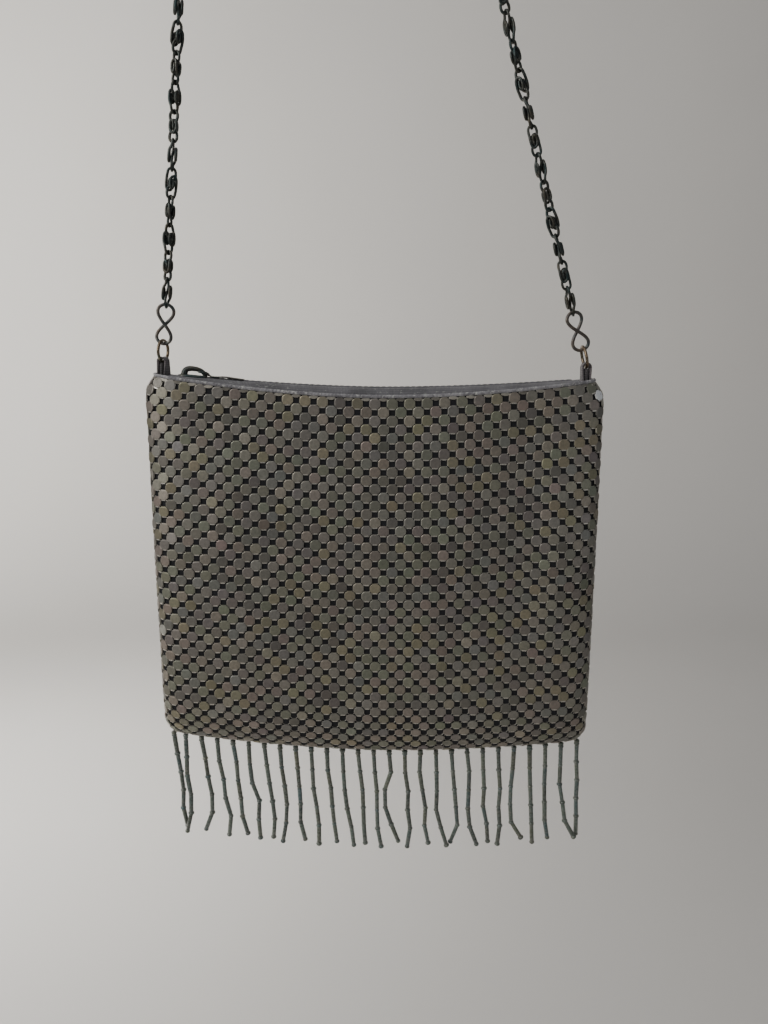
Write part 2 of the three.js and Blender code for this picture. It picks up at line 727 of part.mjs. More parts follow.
// One strand of the fringe: a short thread, then five long beads with a small bead after each
function strandGeometry(index) {
  const x = strandPlace(index);
  const edge = Math.min(bottomHeight(x - seedWaist), bottomHeight(x), bottomHeight(x + seedWaist));
  const sway = (index % 2 === 0 ? 1 : -1) * tipSway;
  const { one, two, three, four, five } = strandDrift[index % strandDrift.length];
  const drifts = [one, two, three, four, five].map((share) => share * strandSpace);
  const point = new THREE.Vector3(x, 0, edge - pieceGap);
  const rings = [];
  const ring = (middle, radius) => {
    const points = [];
    for (let side = 0; side < beadSides; side += 1) {
      const angle = 2 * Math.PI * side / beadSides;
      points.push(new THREE.Vector3(
        middle.x + radius * Math.cos(angle),
        middle.y + radius * Math.sin(angle),
        middle.z,
      ));
    }
    rings.push(points);
  };
  ring(point, seedWaist);
  point.z -= strandTop;
  ring(point, seedWaist);
  for (const drift of drifts) {
    const across = sway / drifts.length;
    const fall = Math.sqrt(buglePitch ** 2 - drift ** 2 - across ** 2);
    const step = new THREE.Vector3(drift, across, -fall);
    const gap = (buglePitch - bugleLength) / 2 / buglePitch;
    ring(point.clone().addScaledVector(step, gap), bugleRadius);
    ring(point.clone().addScaledVector(step, 1 - gap), bugleRadius);
    point.add(step);
    ring(point, seedWaist);
  }
  return solidThroughRings(rings);
}

for (let index = 0; index < strandCount; index += 1) {
  const number = String(index + 1).padStart(2, '0');
  addPiece(`fringe_strand_${number}`, strandGeometry(index), darkGlass, body);
}

export default purse;
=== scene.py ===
"""Looks of a metal mesh evening purse with a bead fringe, hanging by its chain strap.

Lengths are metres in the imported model's frame: +Z up, front towards -Y, origin at the top of the strap.
"""
import math

import bmesh
import bpy
import numpy as np
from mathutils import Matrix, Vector


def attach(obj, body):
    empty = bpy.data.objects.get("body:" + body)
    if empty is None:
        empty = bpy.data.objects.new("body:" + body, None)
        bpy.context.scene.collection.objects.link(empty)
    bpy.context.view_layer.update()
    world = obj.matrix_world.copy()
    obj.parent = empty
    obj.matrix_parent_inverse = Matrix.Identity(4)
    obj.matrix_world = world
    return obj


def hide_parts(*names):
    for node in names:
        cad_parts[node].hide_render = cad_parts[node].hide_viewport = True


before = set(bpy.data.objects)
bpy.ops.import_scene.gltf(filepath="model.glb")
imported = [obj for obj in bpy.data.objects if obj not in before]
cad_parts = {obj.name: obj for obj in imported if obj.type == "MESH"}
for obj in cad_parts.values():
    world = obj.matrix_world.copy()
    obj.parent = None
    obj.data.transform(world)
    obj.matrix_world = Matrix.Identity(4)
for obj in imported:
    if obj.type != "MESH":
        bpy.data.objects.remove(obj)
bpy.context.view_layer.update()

bl_info = {
    "name": "Metal Mesh Purse",
    "version": (1, 0, 0),
    "blender": (4, 5, 0),
    "location": "View3D > Sidebar > Purse",
    "description": "Builds the looks of a metal mesh purse on its packed frame",
    "category": "Add Mesh",
}

MM = 0.001
DEGREE = math.pi / 180

# The pouch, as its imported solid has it
POUCH_MIDDLE = np.array([39.6, 0.0, -448.5]) * MM
HALF_WIDTH = 100 * MM
POUCH_HEIGHT = 169 * MM
TOP_SAG = 8.6 * MM
BOTTOM_SAG = 7.5 * MM
SAG_POWER = 1.8
TOP_SLANT = 1.3 * MM
BOTTOM_SLANT = 2.3 * MM
MOUTH_HALF_DEPTH = 7 * MM
BELLY_HALF_DEPTH = 12.5 * MM
SWELL_SHARE = 0.55
BOTTOM_ROLL = 28 * MM
BOTTOM_CORNER = 7 * MM
TOP_CORNER = 4.2 * MM
TOP_CORNER_HEIGHT = 10 * MM
SIDE_FULLNESS = 18
FOLD_HEIGHT = 0.38
FOLD_FADE = 0.12

# Soft folds as shares: side, across, lean, deepest, spread, depth
FOLDS = [
    (-1, -0.62, 0.10, 0.45, 0.13, 0.07),
    (-1, -0.18, 0.05, 0.70, 0.16, -0.05),
    (-1, 0.30, -0.04, 0.35, 0.15, 0.06),
    (-1, 0.66, -0.06, 0.60, 0.10, -0.06),
    (-1, 0.84, 0.03, 0.50, 0.08, 0.09),
    (1, -0.50, 0.06, 0.55, 0.14, 0.07),
    (1, 0.12, -0.05, 0.40, 0.16, -0.05),
    (1, 0.58, 0.04, 0.65, 0.12, 0.07),
]

# The zip, its slider and its pull
ZIP_HALF_LENGTH = 87.4 * MM
TAPE_HALF_LENGTH = 94.2 * MM
RIDGE_HEIGHT = 3.7 * MM
RIDGE_END_DROP = 2.4 * MM
SLIDER_PLACE = np.array([-39.3, 0.0, -446.7166]) * MM
SLIDER_TURN = 0.0912
PULL_PLACE = np.array([-36.9307, 0.0, -446.0641]) * MM
PULL_TURN = 0.1441

# The hardware at each corner: places in mm in the frame, turns in degrees
CORNERS = [
    {"side": -1, "tab": (-52.4, 0, -447.6425), "tab_turn": 78,
     "ring": (-52.1645, 0, -437.0927), "ring_lean": 3, "eight": (-50.7669, 0, -425.8302), "eight_lean": 8},
    {"side": 1, "tab": (131.6, 0, -450.1255), "tab_turn": -91,
     "ring": (130.5877, 0, -439.6849), "ring_lean": -13, "eight": (127.0645, 0, -428.8367), "eight_lean": -17.5},
]
EIGHT_HEIGHT = 16.7 * MM
EIGHT_WIDTH = 6.4 * MM
ARC_RADIUS = (7 + 2.25) * MM
HOOK_RADIUS = 7 * MM

# Plates with painted light in their tint: a painted reflection of a bright window on the first, painted glints on the
# rest; place across and up from the pouch's middle in mm, and tint
PAINTED_GLINT_PLATES = [
    (95.2, -6.4, (4.6, 5.0, 5.8)), (-94.7, -112.6, (1.9, 2.0, 2.0)), (-36.6, -9.4, (1.5, 1.42, 1.15)),
    (-29.0, -10.0, (1.45, 1.36, 1.10)), (-22.0, -10.2, (1.35, 1.30, 1.12)), (-91.0, -4.0, (1.5, 1.5, 1.35)),
]

# The half plates that hook the first row to the tape: drop below the mouth's edge, and size as shares
HOOK_DROP = 0.5 * MM
HOOK_WIDTH = 0.8
HOOK_DEPTH = 0.27

# The plates of the lowest rows are smaller: depth where it starts, depth it takes, and by what shares
LOW_ROWS_START = 147 * MM
LOW_ROWS_FADE = 12 * MM
LOW_ROWS_NARROW = 0.05
LOW_ROWS_SHORT = 0.17

# Lights: name, place, point faced (m), watts, size (m), colour and, where it isn't wide open, spread (degrees)
PURSE_POINT = (0.04, 0.0, -0.53)
WORLD_COLOUR = (0.95, 0.97, 1.0, 1)
WORLD_STRENGTH = 0.215
LIGHTS = [
    ("key", (-1.00, -0.75, 0.10), PURSE_POINT, 12.3, (0.9, 0.9), (1.0, 0.985, 0.96)),
    ("fill", (1.0, -0.9, -0.5), PURSE_POINT, 1.0, (0.9, 1.1), (0.94, 0.97, 1.0)),
    ("overhead", (-0.3, -0.20, 0.35), PURSE_POINT, 2.6, (1.2, 0.4), (1.0, 0.99, 0.97)),
    ("wall_left", (-1.5, 0.25, -0.45), (-0.60, 1.5, -0.45), 25.0, (0.6, 2.0), (1.0, 0.98, 0.93), 125),
    ("floor_left", (-0.60, 0.45, -0.30), (-0.40, 0.40, -0.95), 2.0, (0.5, 0.5), (1.0, 0.985, 0.95), 90),
    ("wall_top", (0.0, 0.45, 0.6), (0.1, 1.5, -0.5), 1.3, (1.8, 0.5), (0.98, 0.985, 1.0)),
]

# Sideways drift of each strand's five long beads, as shares of the space between two strands
STRAND_SPACE = 7.524 * MM
STRAND_REACH = 96.8 * MM
BUGLE_PITCH = 9.9 * MM
STRAND_TOP = 2.6 * MM
TIP_SWAY = 1.3 * MM
STRAND_DRIFT = np.array([
    [0.13, 0.15, 0.09, -0.09, 0.21], [0, -0.03, 0.19, -0.04, -0.3], [0.17, 0.11, 0.19, -0.04, -0.46],
    [0.07, 0.24, 0.08, 0.31, -0.15], [0.16, 0.05, 0.13, 0.05, 0.31], [0.03, 0.12, 0.43, -0.08, 0.08],
    [0.11, 0.13, 0.16, 0.11, -0.12], [0.07, 0.17, 0.12, -0.08, -0.23], [0.09, 0.08, 0.05, -0.03, 0.28],
    [0.05, 0.05, 0.19, 0.13, -0.01], [0.03, 0.19, 0.07, 0.11, 0.16], [0.04, 0.08, 0.15, 0.26, 0.16],
    [0.12, 0.15, 0.04, 0.03, 0.09], [0.08, 0.12, 0.01, 0.04, 0.23], [0.11, -0.39, 0.03, 0.39, 0.46],
    [0.03, 0.2, -0.03, 0.17, -0.19], [-0.04, 0.2, 0.21, -0.05, 0.26], [0.05, 0.04, -0.03, 0.32, 0.38],
    [0.11, 0.13, 0.12, 0.12, -0.44], [0.16, -0.01, -0.03, 0.15, 0.46], [0.07, 0.09, -0.03, 0.27, 0.11],
    [0.07, 0.11, -0.07, 0.11, -0.13], [-0.03, -0.08, 0.01, 0.11, 0.67], [0.05, 0.07, 0.09, 0.08, 0.07],
    [0.05, 0.01, 0.07, 0.07, 0.23], [0.01, 0, 0.24, 0.2, 0.63], [0.05, 0.11, 0.01, 0.08, 0.04],
])


# ---- shapes ----------------------------------------------------------------------------------------

def turn_about_y(points, angle):
    """Rows of points turned about +Y: x' = x cos + z sin and z' = z cos - x sin."""
    c, s = math.cos(angle), math.sin(angle)
    return points @ np.array([[c, 0, -s], [0, 1, 0], [s, 0, c]])


def turn_about_z(points, angle):
    """Rows of points turned about +Z: x' = x cos - y sin and y' = y cos + x sin."""
    c, s = math.cos(angle), math.sin(angle)
    return points @ np.array([[c, s, 0], [-s, c, 0], [0, 0, 1]])


def unit(vectors):
    """Each vector over its own length."""
    return vectors / np.maximum(np.linalg.norm(vectors, axis=-1, keepdims=True), 1e-12)


def grid_faces(rows, columns, loop_rows=False, loop_columns=False):
    """Quads over a grid of points that is stored row by row, closed on itself where asked."""
    r = np.arange(rows if loop_rows else rows - 1)
    c = np.arange(columns if loop_columns else columns - 1)
    r, c = (a.ravel() for a in np.meshgrid(r, c, indexing="ij"))
    r2, c2 = (r + 1) % rows, (c + 1) % columns
    return np.stack([r * columns + c, r * columns + c2, r2 * columns + c2, r2 * columns + c], 1)


def section_faces(rows, sides):
    """Faces of a section carried along a path: quads between the rings and a face at both ends."""
    quads = grid_faces(rows, sides, loop_columns=True)[:, ::-1].tolist()
    return quads + [list(range(sides)), list(range(rows * sides - 1, (rows - 1) * sides - 1, -1))]


def path_frames(path, side, closed=False):
    """Unit vectors along a path and two across it, the first as near to the given side as it can be."""
    if closed:
        ahead = np.roll(path, -1, 0) - np.roll(path, 1, 0)
    else:
        ahead = np.gradient(path, axis=0)
    ahead = unit(ahead)
    first = unit(side - (ahead @ side)[:, None] * ahead)
    return ahead, first, np.cross(ahead, first)


def tube(path, radius, sides, side=(0, 1, 0), closed=False, flatten=1.0):
    """A round section carried along a path: path + r (cos a * first + flatten * sin a * second).

    The radius may change along the path. An open tube gets domed ends of two smaller rings.
    """
    path, side = np.asarray(path, float), np.asarray(side, float)
    radius = np.broadcast_to(np.asarray(radius, float), (len(path),))
    ahead, first, second = path_frames(path, side, closed)
    if not closed:
        lift = np.array([0.55, 1.0])
        size = np.array([0.84, 0.35])
        head = path[-1] + ahead[-1] * radius[-1] * lift[:, None] * 0.9
        tail = path[0] - ahead[0] * radius[0] * lift[::-1, None] * 0.9
        path = np.vstack([tail, path, head])
        radius = np.concatenate([radius[0] * size[::-1], radius, radius[-1] * size])
        first = np.vstack([first[:1]] * 2 + [first] + [first[-1:]] * 2)
        second = np.vstack([second[:1]] * 2 + [second] + [second[-1:]] * 2)
    angle = 2 * math.pi * np.arange(sides) / sides
    around = first[:, None] * np.cos(angle)[:, None] + flatten * second[:, None] * np.sin(angle)[:, None]
    points = path[:, None] + radius[:, None, None] * around
    rows = len(path)
    if closed:
        faces = grid_faces(rows, sides, loop_rows=True, loop_columns=True)[:, ::-1].tolist()
    else:
        faces = section_faces(rows, sides)
    along = np.concatenate([[0], np.cumsum(np.linalg.norm(np.diff(path, axis=0), axis=1))])
    uv = np.stack(np.broadcast_arrays(along[:, None], angle / (2 * math.pi)), -1).reshape(-1, 2)
    return points.reshape(-1, 3), faces, uv


def smooth_path(points, count, closed=False):
    """A Catmull-Rom curve through the points, with the same number of even steps in each span."""
    p = np.asarray(points, float)
    n = len(p)
    spans = n if closed else n - 1
    t = np.linspace(0, spans, count, endpoint=not closed)
    i = np.minimum(t.astype(int), spans - 1)
    f = (t - i)[:, None]

    def at(k):
        return p[k % n] if closed else p[np.clip(k, 0, n - 1)]

    a, b, c, d = at(i - 1), at(i), at(i + 1), at(i + 2)
    return 0.5 * (2 * b + (c - a) * f + (2 * a - 5 * b + 4 * c - d) * f ** 2 + (3 * b - a - 3 * c + d) * f ** 3)


class Shape:
    """Points and faces gathered from several surfaces, with a UV pair and a tint for each point."""

    def __init__(self):
        self.points, self.faces, self.uv, self.tint, self.count = [], [], [], [], 0

    def add(self, points, faces, uv=None, tint=None):
        points = np.asarray(points, float).reshape(-1, 3)
        n = len(points)
        self.points.append(points)
        for face in faces:
            self.faces.append([int(i) + self.count for i in face])
        self.uv.append(np.zeros((n, 2)) if uv is None else uv)
        self.tint.append(np.broadcast_to((1, 1, 1, 0) if tint is None else tint, (n, 4)))
        self.count += n

    def make(self, name, material, nodes, body="purse", smooth=True):
        """The shape as a Blender object that rides on a body and stands for the named solids."""
        mesh = bpy.data.meshes.new(name)
        points = np.vstack(self.points)
        mesh.from_pydata(points.tolist(), [], self.faces)
        uv = np.vstack(self.uv)
        corner = np.empty(len(mesh.loops), int)
        mesh.loops.foreach_get("vertex_index", corner)
        mesh.uv_layers.new(name="UVMap").data.foreach_set("uv", uv[corner].ravel())
        tint = mesh.color_attributes.new("tint", "FLOAT_COLOR", "POINT")
        tint.data.foreach_set("color", np.vstack(self.tint).ravel())
        mesh.polygons.foreach_set("use_smooth", np.full(len(mesh.polygons), smooth))
        mesh.update()
        mesh.materials.append(material)
        piece = bpy.data.objects.new(name, mesh)
        bpy.context.scene.collection.objects.link(piece)
        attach(piece, body)
        if nodes:
            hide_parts(*nodes)
        return piece


# ---- the pouch's surface ---------------------------------------------------------------------------

def half_width_at(down):
    """Half width at a share of the way down, drawn in at the mouth and over the rounded bottom corners."""
    over = np.clip(1 - down * POUCH_HEIGHT / TOP_CORNER_HEIGHT, 0, 1)
    into = np.clip((down - 1) * POUCH_HEIGHT / BOTTOM_CORNER + 1, 0, 1)
    return HALF_WIDTH - TOP_CORNER * over ** 2 - BOTTOM_CORNER * (1 - np.sqrt(1 - into ** 2))


def half_depth_at(down):
    """Half depth in the middle: it swells from mouth to belly and rolls shut like an ellipse."""
    t = np.clip(down / SWELL_SHARE, 0, 1)
    swell = t * t * (3 - 2 * t)
    into = np.clip((down - 1) * POUCH_HEIGHT / BOTTOM_ROLL + 1, 0, 1)
    return (MOUTH_HALF_DEPTH + (BELLY_HALF_DEPTH - MOUTH_HALF_DEPTH) * swell) * np.sqrt(1 - into ** 2)


def fold_depth(side, across, down):
    """Sum of the soft folds of one side, each a bump across and along the pouch."""
    depth = np.zeros(np.broadcast(across, down).shape)
    for fold_side, middle, lean, deepest, spread, share in FOLDS:
        bump = np.exp(-((across - middle - lean * (down - deepest)) / spread) ** 2)
        tall = np.exp(-((down - deepest) / FOLD_HEIGHT) ** 2) * np.clip((1 - down) / FOLD_FADE, 0, 1)
        depth = depth + (side == fold_side) * share * BELLY_HALF_DEPTH * bump * tall
    return depth


def sag_at(x, down):
    """How far a row hangs below the corners' level: sag (1 - |x / half| ^ power) + slant x / half."""
    share = x / HALF_WIDTH
    sag = TOP_SAG + (BOTTOM_SAG - TOP_SAG) * down
    return sag * (1 - np.abs(share) ** SAG_POWER) + (TOP_SLANT + (BOTTOM_SLANT - TOP_SLANT) * down) * share


def mouth_height(x):
    """Height of the mouth's edge above the corners' level."""
    return -sag_at(x, 0.0)


def ridge_height(x):
    """Height of the zip's ridge above the mouth's edge: it sinks towards both ends."""
    return RIDGE_HEIGHT - RIDGE_END_DROP * (x / ZIP_HALF_LENGTH) ** 2


def bottom_height(x):
    """Height of the pouch's lowest edge at a distance from the middle."""
    into = np.clip((np.abs(x) - HALF_WIDTH + BOTTOM_CORNER) / BOTTOM_CORNER, 0, 1)
    down = 1 - BOTTOM_CORNER / POUCH_HEIGHT * (1 - np.sqrt(1 - into ** 2))
    return -sag_at(x, down) - down * POUCH_HEIGHT


def quarter_shares():
    """Shares of the half width from the middle to the side, closely spaced where the side turns."""
    turn = math.acos(0.9 ** (SIDE_FULLNESS / 2))
    round_part = np.cos(np.linspace(turn, 0, 300)) ** (2 / SIDE_FULLNESS)
    return np.concatenate([np.linspace(0, 0.9, 200, endpoint=False), round_part])


def quarter_curve(down):
    """One quarter of a level section: x = a s and y = b sqrt(1 - s ^ fullness), with its length."""
    share = quarter_shares()
    x = half_width_at(down) * share
    y = half_depth_at(down) * np.sqrt(np.maximum(0, 1 - share ** SIDE_FULLNESS))
    z = (TOP_SAG + (BOTTOM_SAG - TOP_SAG) * down) * (x / HALF_WIDTH) ** SAG_POWER
    length = np.concatenate([[0], np.cumsum(np.sqrt(np.diff(x) ** 2 + np.diff(y) ** 2 + np.diff(z) ** 2))])
    return x, y, length


class Pouch:
    """The pouch's outer surface with the mesh's columns on it.

    A column keeps its distance along the mouth from the middle, squeezed a little near the sides
    where the section is shorter, and runs straight down to the bottom line, where front and back
    meet. Columns are numbered in half plate pitches, from the front's middle towards +x and round.
    """

    def __init__(self, plates_round, half_rows, first_row):
        belly = quarter_curve(SWELL_SHARE)[2][-1]
        self.columns = 2 * plates_round
        self.first_row = first_row
        self.pitch = 4 * belly / plates_round
        distance = np.arange(self.columns) * self.pitch / 2
        distance = np.where(distance > 2 * belly, distance - 4 * belly, distance)
        self.side = np.where(np.abs(distance) > belly, 1, -1)
        right = np.sign(distance) + (distance == 0)
        reach = np.where(self.side < 0, np.abs(distance), 2 * belly - np.abs(distance))
        squeeze = np.clip((reach - 0.7 * belly) / (0.3 * belly), 0, 1) ** 1.5
        self.front = self.side < 0
        down = np.sin(np.linspace(0, 1, 420) * math.pi / 2)
        corner_top = 1 - BOTTOM_CORNER / POUCH_HEIGHT
        x, y = [], []
        for level in down:
            cx, cy, length = quarter_curve(min(level, corner_top))
            at = reach - (belly - length[-1]) * squeeze
            column_x = np.interp(at, length, cx)
            if level <= corner_top:
                column_y = np.interp(at, length, cy)
            else:
                share = np.minimum(1, column_x / half_width_at(level))
                column_y = half_depth_at(level) * np.sqrt(1 - share ** SIDE_FULLNESS)
            x.append(column_x)
            y.append(column_y)
        x, y = np.array(x), np.array(y)
        ended = x > half_width_at(down)[:, None] + 1e-9
        level = down[:, None]
        folds = fold_depth(self.side, right * x / HALF_WIDTH, level)
        y = self.side * y * (1 + folds / np.maximum(half_depth_at(level), 1e-6))
        z = -sag_at(right * x, level) - level * POUCH_HEIGHT
        last = np.where(ended.any(0), ended.argmax(0) - 1, len(down) - 1)
        y = np.where(np.arange(len(down))[:, None] >= last, 0, y)
        z = np.where(ended, bottom_height(right * x[-1])[None], z)
        grid = np.stack([right * x, y, z], -1)
        self.length = np.vstack([np.zeros((1, self.columns)),
                                 np.cumsum(np.linalg.norm(np.diff(grid, axis=0), axis=-1), 0)])
        self.grid = grid
        self.end = self.length[-1]
        share = grid[0, :, 0] / HALF_WIDTH
        full = self.end[0] + (TOP_SAG - BOTTOM_SAG) * np.abs(share) ** SAG_POWER + (BOTTOM_SLANT - TOP_SLANT) * share
        self.row_height = (full - first_row) / half_rows

    def at(self, distance):
        """Points at the given distance down each column, worked out column by column."""
        distance = np.broadcast_to(distance, (self.columns,))
        return np.array([
            [np.interp(distance[c], self.length[:, c], self.grid[:, c, axis]) for axis in range(3)]
            for c in range(self.columns)
        ])

    def row(self, k):
        """Points of one half row with their unit vectors along the row, down the column and out."""
        distance = self.first_row + k * self.row_height
        reach = 0.4 * self.row_height
        here = self.at(np.minimum(distance, self.end))
        below = self.at(np.minimum(distance + reach, self.end))
        above = self.at(np.minimum(distance - reach, self.end - 2 * reach))
        down = unit(below - above)
        along = unit(np.roll(here, -1, 0) - np.roll(here, 1, 0))
        along = unit(along - (along * down).sum(-1, keepdims=True) * down)
        return here, along, down, np.cross(down, along), distance


def plate_template(settings):
    """A plate with eight sides and eased corners, a bevelled rim and four arms bent down round the rings.

    Points are (along, up, out). The plate is three like outlines stacked on each other; each arm is a
    strip with a four sided section that goes out over the rim, down, and back under.
    """
    a, d = settings.plate_width / 2, settings.plate_diagonal / 2
    b = d * math.sqrt(2) - a - 0.22 * MM
    m = d / math.sqrt(2)
    outline = np.array([[a, -b], [a, b], [m, m], [b, a], [-b, a], [-m, m], [-a, b], [-a, -b], [-m, -m], [-b, -a],
                        [b, -a], [m, -m]])
    sides = len(outline)
    rings = [np.column_stack([outline * scale, np.full(sides, height * MM)])
             for scale, height in ((0.90, 0.22), (1.0, 0.10), (0.97, -0.06))]
    points = np.vstack(rings)
    faces = grid_faces(3, sides, loop_columns=True).tolist()
    faces += [list(range(sides))[::-1], list(range(2 * sides, 3 * sides))]
    # Share of the paler rim colour at each point: 0.35 on the bevel is rim wear; the arms' shares below also hold
    # painted highlight.
    wear_and_highlight = np.repeat([0.0, 0.35, 0.0], sides)
    half = settings.arm_width / 2
    route = np.array([[a - 0.35 * MM, 0.0], [a + 0.14 * MM, -0.02 * MM], [a + 0.12 * MM, -0.40 * MM]])
    thick = np.array([[0.0, 0.16], [0.12, 0.14], [0.14, -0.04]]) * MM
    arm_faces = grid_faces(3, 4, loop_columns=True).tolist() + [[8, 9, 10, 11]]
    # Arms in turn: right, top, left, bottom. Their shares differ by side because of how light falls. The bottom arm's
    # 1.5 paints a pale highlight line along each plate's lower edge, and the left arm's 0.50 is a paler painted
    # highlight from the left. The top and right arms' 0.30 is rim wear.
    for turn, rubbed in enumerate((0.30, 0.30, 0.50, 1.5)):
        longer = np.array([0, 0.16 * MM, 0.10 * MM]) * (turn == 3)
        c, s = math.cos(turn * math.pi / 2), math.sin(turn * math.pi / 2)
        arm = []
        for (r, h), (tr, th), more in zip(route, thick, longer):
            outer = r + tr + more
            arm += [[r, -half, h], [r, half, h], [outer, half * 0.95, h + th], [outer, -half * 0.95, h + th]]
        arm = np.array(arm)
        turned = np.column_stack([arm[:, 0] * c - arm[:, 1] * s, arm[:, 0] * s + arm[:, 1] * c, arm[:, 2]])
        faces += [[i + len(points) for i in face] for face in arm_faces]
        points = np.vstack([points, turned])
        wear_and_highlight = np.concatenate([wear_and_highlight, np.tile([0.0, 0.0, rubbed, rubbed], 3)])
    return points, faces, wear_and_highlight


def ring_template(settings, round_steps=12, wire_steps=4):
    """A round wire ring that lies under the plates' rims: a circle carried round a circle."""
    angle = 2 * math.pi * np.arange(round_steps) / round_steps
    path = np.column_stack([np.cos(angle), np.sin(angle), np.zeros(round_steps)]) * settings.link_ring_radius
    path[:, 2] -= 0.30 * MM
    points, faces, _ = tube(path, settings.link_ring_wire, wire_steps, side=(0, 0, 1), closed=True)
    return points, faces


def spread(template, faces, places, frames):
    """Copies of a template, each point as its place plus the template's point in that copy's frame."""
    points = places[:, None] + np.einsum("pi,nij->npj", template, frames)
    step = len(template)
    flat = [[i + n * step for i in face] for n in range(len(places)) for face in faces]
    return points.reshape(-1, 3), flat


# ---- materials -------------------------------------------------------------------------------------

def start_material(name, colour, roughness, metallic=0.0):
    """A new material with its Principled shader set directly, and short ways to add and join nodes."""
    material = bpy.data.materials.new(name)
    material.use_nodes = True
    tree = material.node_tree
    shader = tree.nodes["Principled BSDF"]
    shader.inputs["Base Color"].default_value = (*colour[:3], 1)
    shader.inputs["Roughness"].default_value = roughness
    shader.inputs["Metallic"].default_value = metallic
    material.diffuse_color = (*colour[:3], 1)
    return material, tree, shader


def add_node(tree, kind, inputs=None, **settings):
    node = tree.nodes.new(kind)
    for key, value in settings.items():
        setattr(node, key, value)
    for key, value in (inputs or {}).items():
        if isinstance(value, bpy.types.NodeSocket):
            tree.links.new(value, node.inputs[key])
        else:
            node.inputs[key].default_value = value
    return node


def object_place(tree, scale=(1, 1, 1)):
    place = add_node(tree, "ShaderNodeTexCoord")
    return add_node(tree, "ShaderNodeMapping", {"Vector": place.outputs["Object"], "Scale": scale}).outputs[0]


def uv_place(tree, scale=(1, 1, 1)):
    place = add_node(tree, "ShaderNodeUVMap", uv_map="UVMap")
    return add_node(tree, "ShaderNodeMapping", {"Vector": place.outputs[0], "Scale": scale}).outputs[0]


def noise(tree, place, scale, detail=3.0, roughness=0.5):
    return add_node(tree, "ShaderNodeTexNoise",
                    {"Vector": place, "Scale": scale, "Detail": detail, "Roughness": roughness}).outputs["Fac"]


def ramp(tree, factor, stops):
    """A colour ramp with stops of (place, colour)."""
    node = add_node(tree, "ShaderNodeValToRGB", {"Fac": factor})
    elements = node.color_ramp.elements
    while len(elements) < len(stops):
        elements.new(0.5)
    for element, (place, colour) in zip(elements, stops):
        element.position = place
        element.color = (*colour[:3], 1)
    return node.outputs["Color"]


def span(tree, value, low, high, from_low=0.0, from_high=1.0):
    node = add_node(tree, "ShaderNodeMapRange", {"Value": value, "From Min": from_low, "From Max": from_high,
                                                 "To Min": low, "To Max": high})
    return node.outputs["Result"]


def mix(tree, factor, a, b, blend="MIX"):
    """Two colours mixed by a factor; each may be a socket or a colour."""
    node = add_node(tree, "ShaderNodeMix", data_type="RGBA", blend_type=blend)
    for key, value in ((0, factor), (6, a), (7, b)):
        if isinstance(value, bpy.types.NodeSocket):
            tree.links.new(value, node.inputs[key])
        elif key == 0:
            node.inputs[key].default_value = value
        else:
            node.inputs[key].default_value = (*value[:3], 1)
    return node.outputs[2]


def bump(tree, shader, height, distance, strength=1.0):
    node = add_node(tree, "ShaderNodeBump", {"Height": height, "Distance": distance, "Strength": strength})
    tree.links.new(node.outputs[0], shader.inputs["Normal"])


def math_node(tree, operation, a, b=0.5):
    return add_node(tree, "ShaderNodeMath", {0: a, 1: b}, operation=operation).outputs[0]


def tint_of(tree):
    node = add_node(tree, "ShaderNodeVertexColor", layer_name="tint")
    return node.outputs["Color"], node.outputs["Alpha"]


def plate_metal(settings):
    """Aged satin plates: each with its own tint (a few of them painted glints), blotched by patina, paler and smoother
    at worn rims, and paler where the arms carry painted highlight.
    """
    material, tree, shader = start_material("plate_metal", settings.metal_colour, 0.42, 0.78)
    tint, wear_and_highlight = tint_of(tree)
    place = object_place(tree)
    colour = mix(tree, 1.0, settings.metal_colour, tint, "MULTIPLY")
    patina = span(tree, noise(tree, place, 900.0, 4.0, 0.6), 0.0, 1.0, 0.35, 0.7)
    colour = mix(tree, math_node(tree, "MULTIPLY", patina, 0.35), colour, settings.patina_colour, "MIX")
    # Paler rim colour by the rim share: rim wear on the bevels, painted highlight on the arms, most of all on the
    # bottom arms.
    worn = span(tree, wear_and_highlight, 0.0, 0.95, 0.2, 1.4)
    colour = mix(tree, worn, colour, settings.rim_colour)
    tree.links.new(colour, shader.inputs["Base Color"])
    rough = span(tree, noise(tree, place, 2200.0, 3.0, 0.6), 0.36, 0.54, 0.3, 0.7)
    rubbed = span(tree, wear_and_highlight, 0.0, 0.14, 0.2, 1.0)
    tree.links.new(math_node(tree, "SUBTRACT", rough, rubbed), shader.inputs["Roughness"])
    scratches = noise(tree, object_place(tree, (1, 1, 0.25)), 5200.0, 2.0, 0.6)
    bump(tree, shader, scratches, 0.03 * MM, 0.5)
    return material


def ring_metal(settings):
    """The small rings' wire: paler than the plates, with dark tarnish in patches."""
    material, tree, shader = start_material("ring_metal", settings.rim_colour, 0.32, 0.9)
    spots = span(tree, noise(tree, object_place(tree), 700.0, 3.0), 0.0, 1.0, 0.4, 0.65)
    colour = mix(tree, spots, settings.rim_colour, settings.patina_colour)
    tree.links.new(colour, shader.inputs["Base Color"])
    return material


def weave(tree, place, threads, cross=1.0):
    """A plain weave as height: two sets of ridges, one along and one across, that take turns."""
    x = add_node(tree, "ShaderNodeTexWave", {"Vector": place, "Scale": threads, "Distortion": 0.6, "Detail": 1.0},
                 wave_type="BANDS", bands_direction="X").outputs["Fac"]
    y = add_node(tree, "ShaderNodeTexWave",
                 {"Vector": place, "Scale": threads * cross, "Distortion": 0.6, "Detail": 1.0},
                 wave_type="BANDS", bands_direction="Y").outputs["Fac"]
    return math_node(tree, "MAXIMUM", x, y), math_node(tree, "MULTIPLY", x, y)


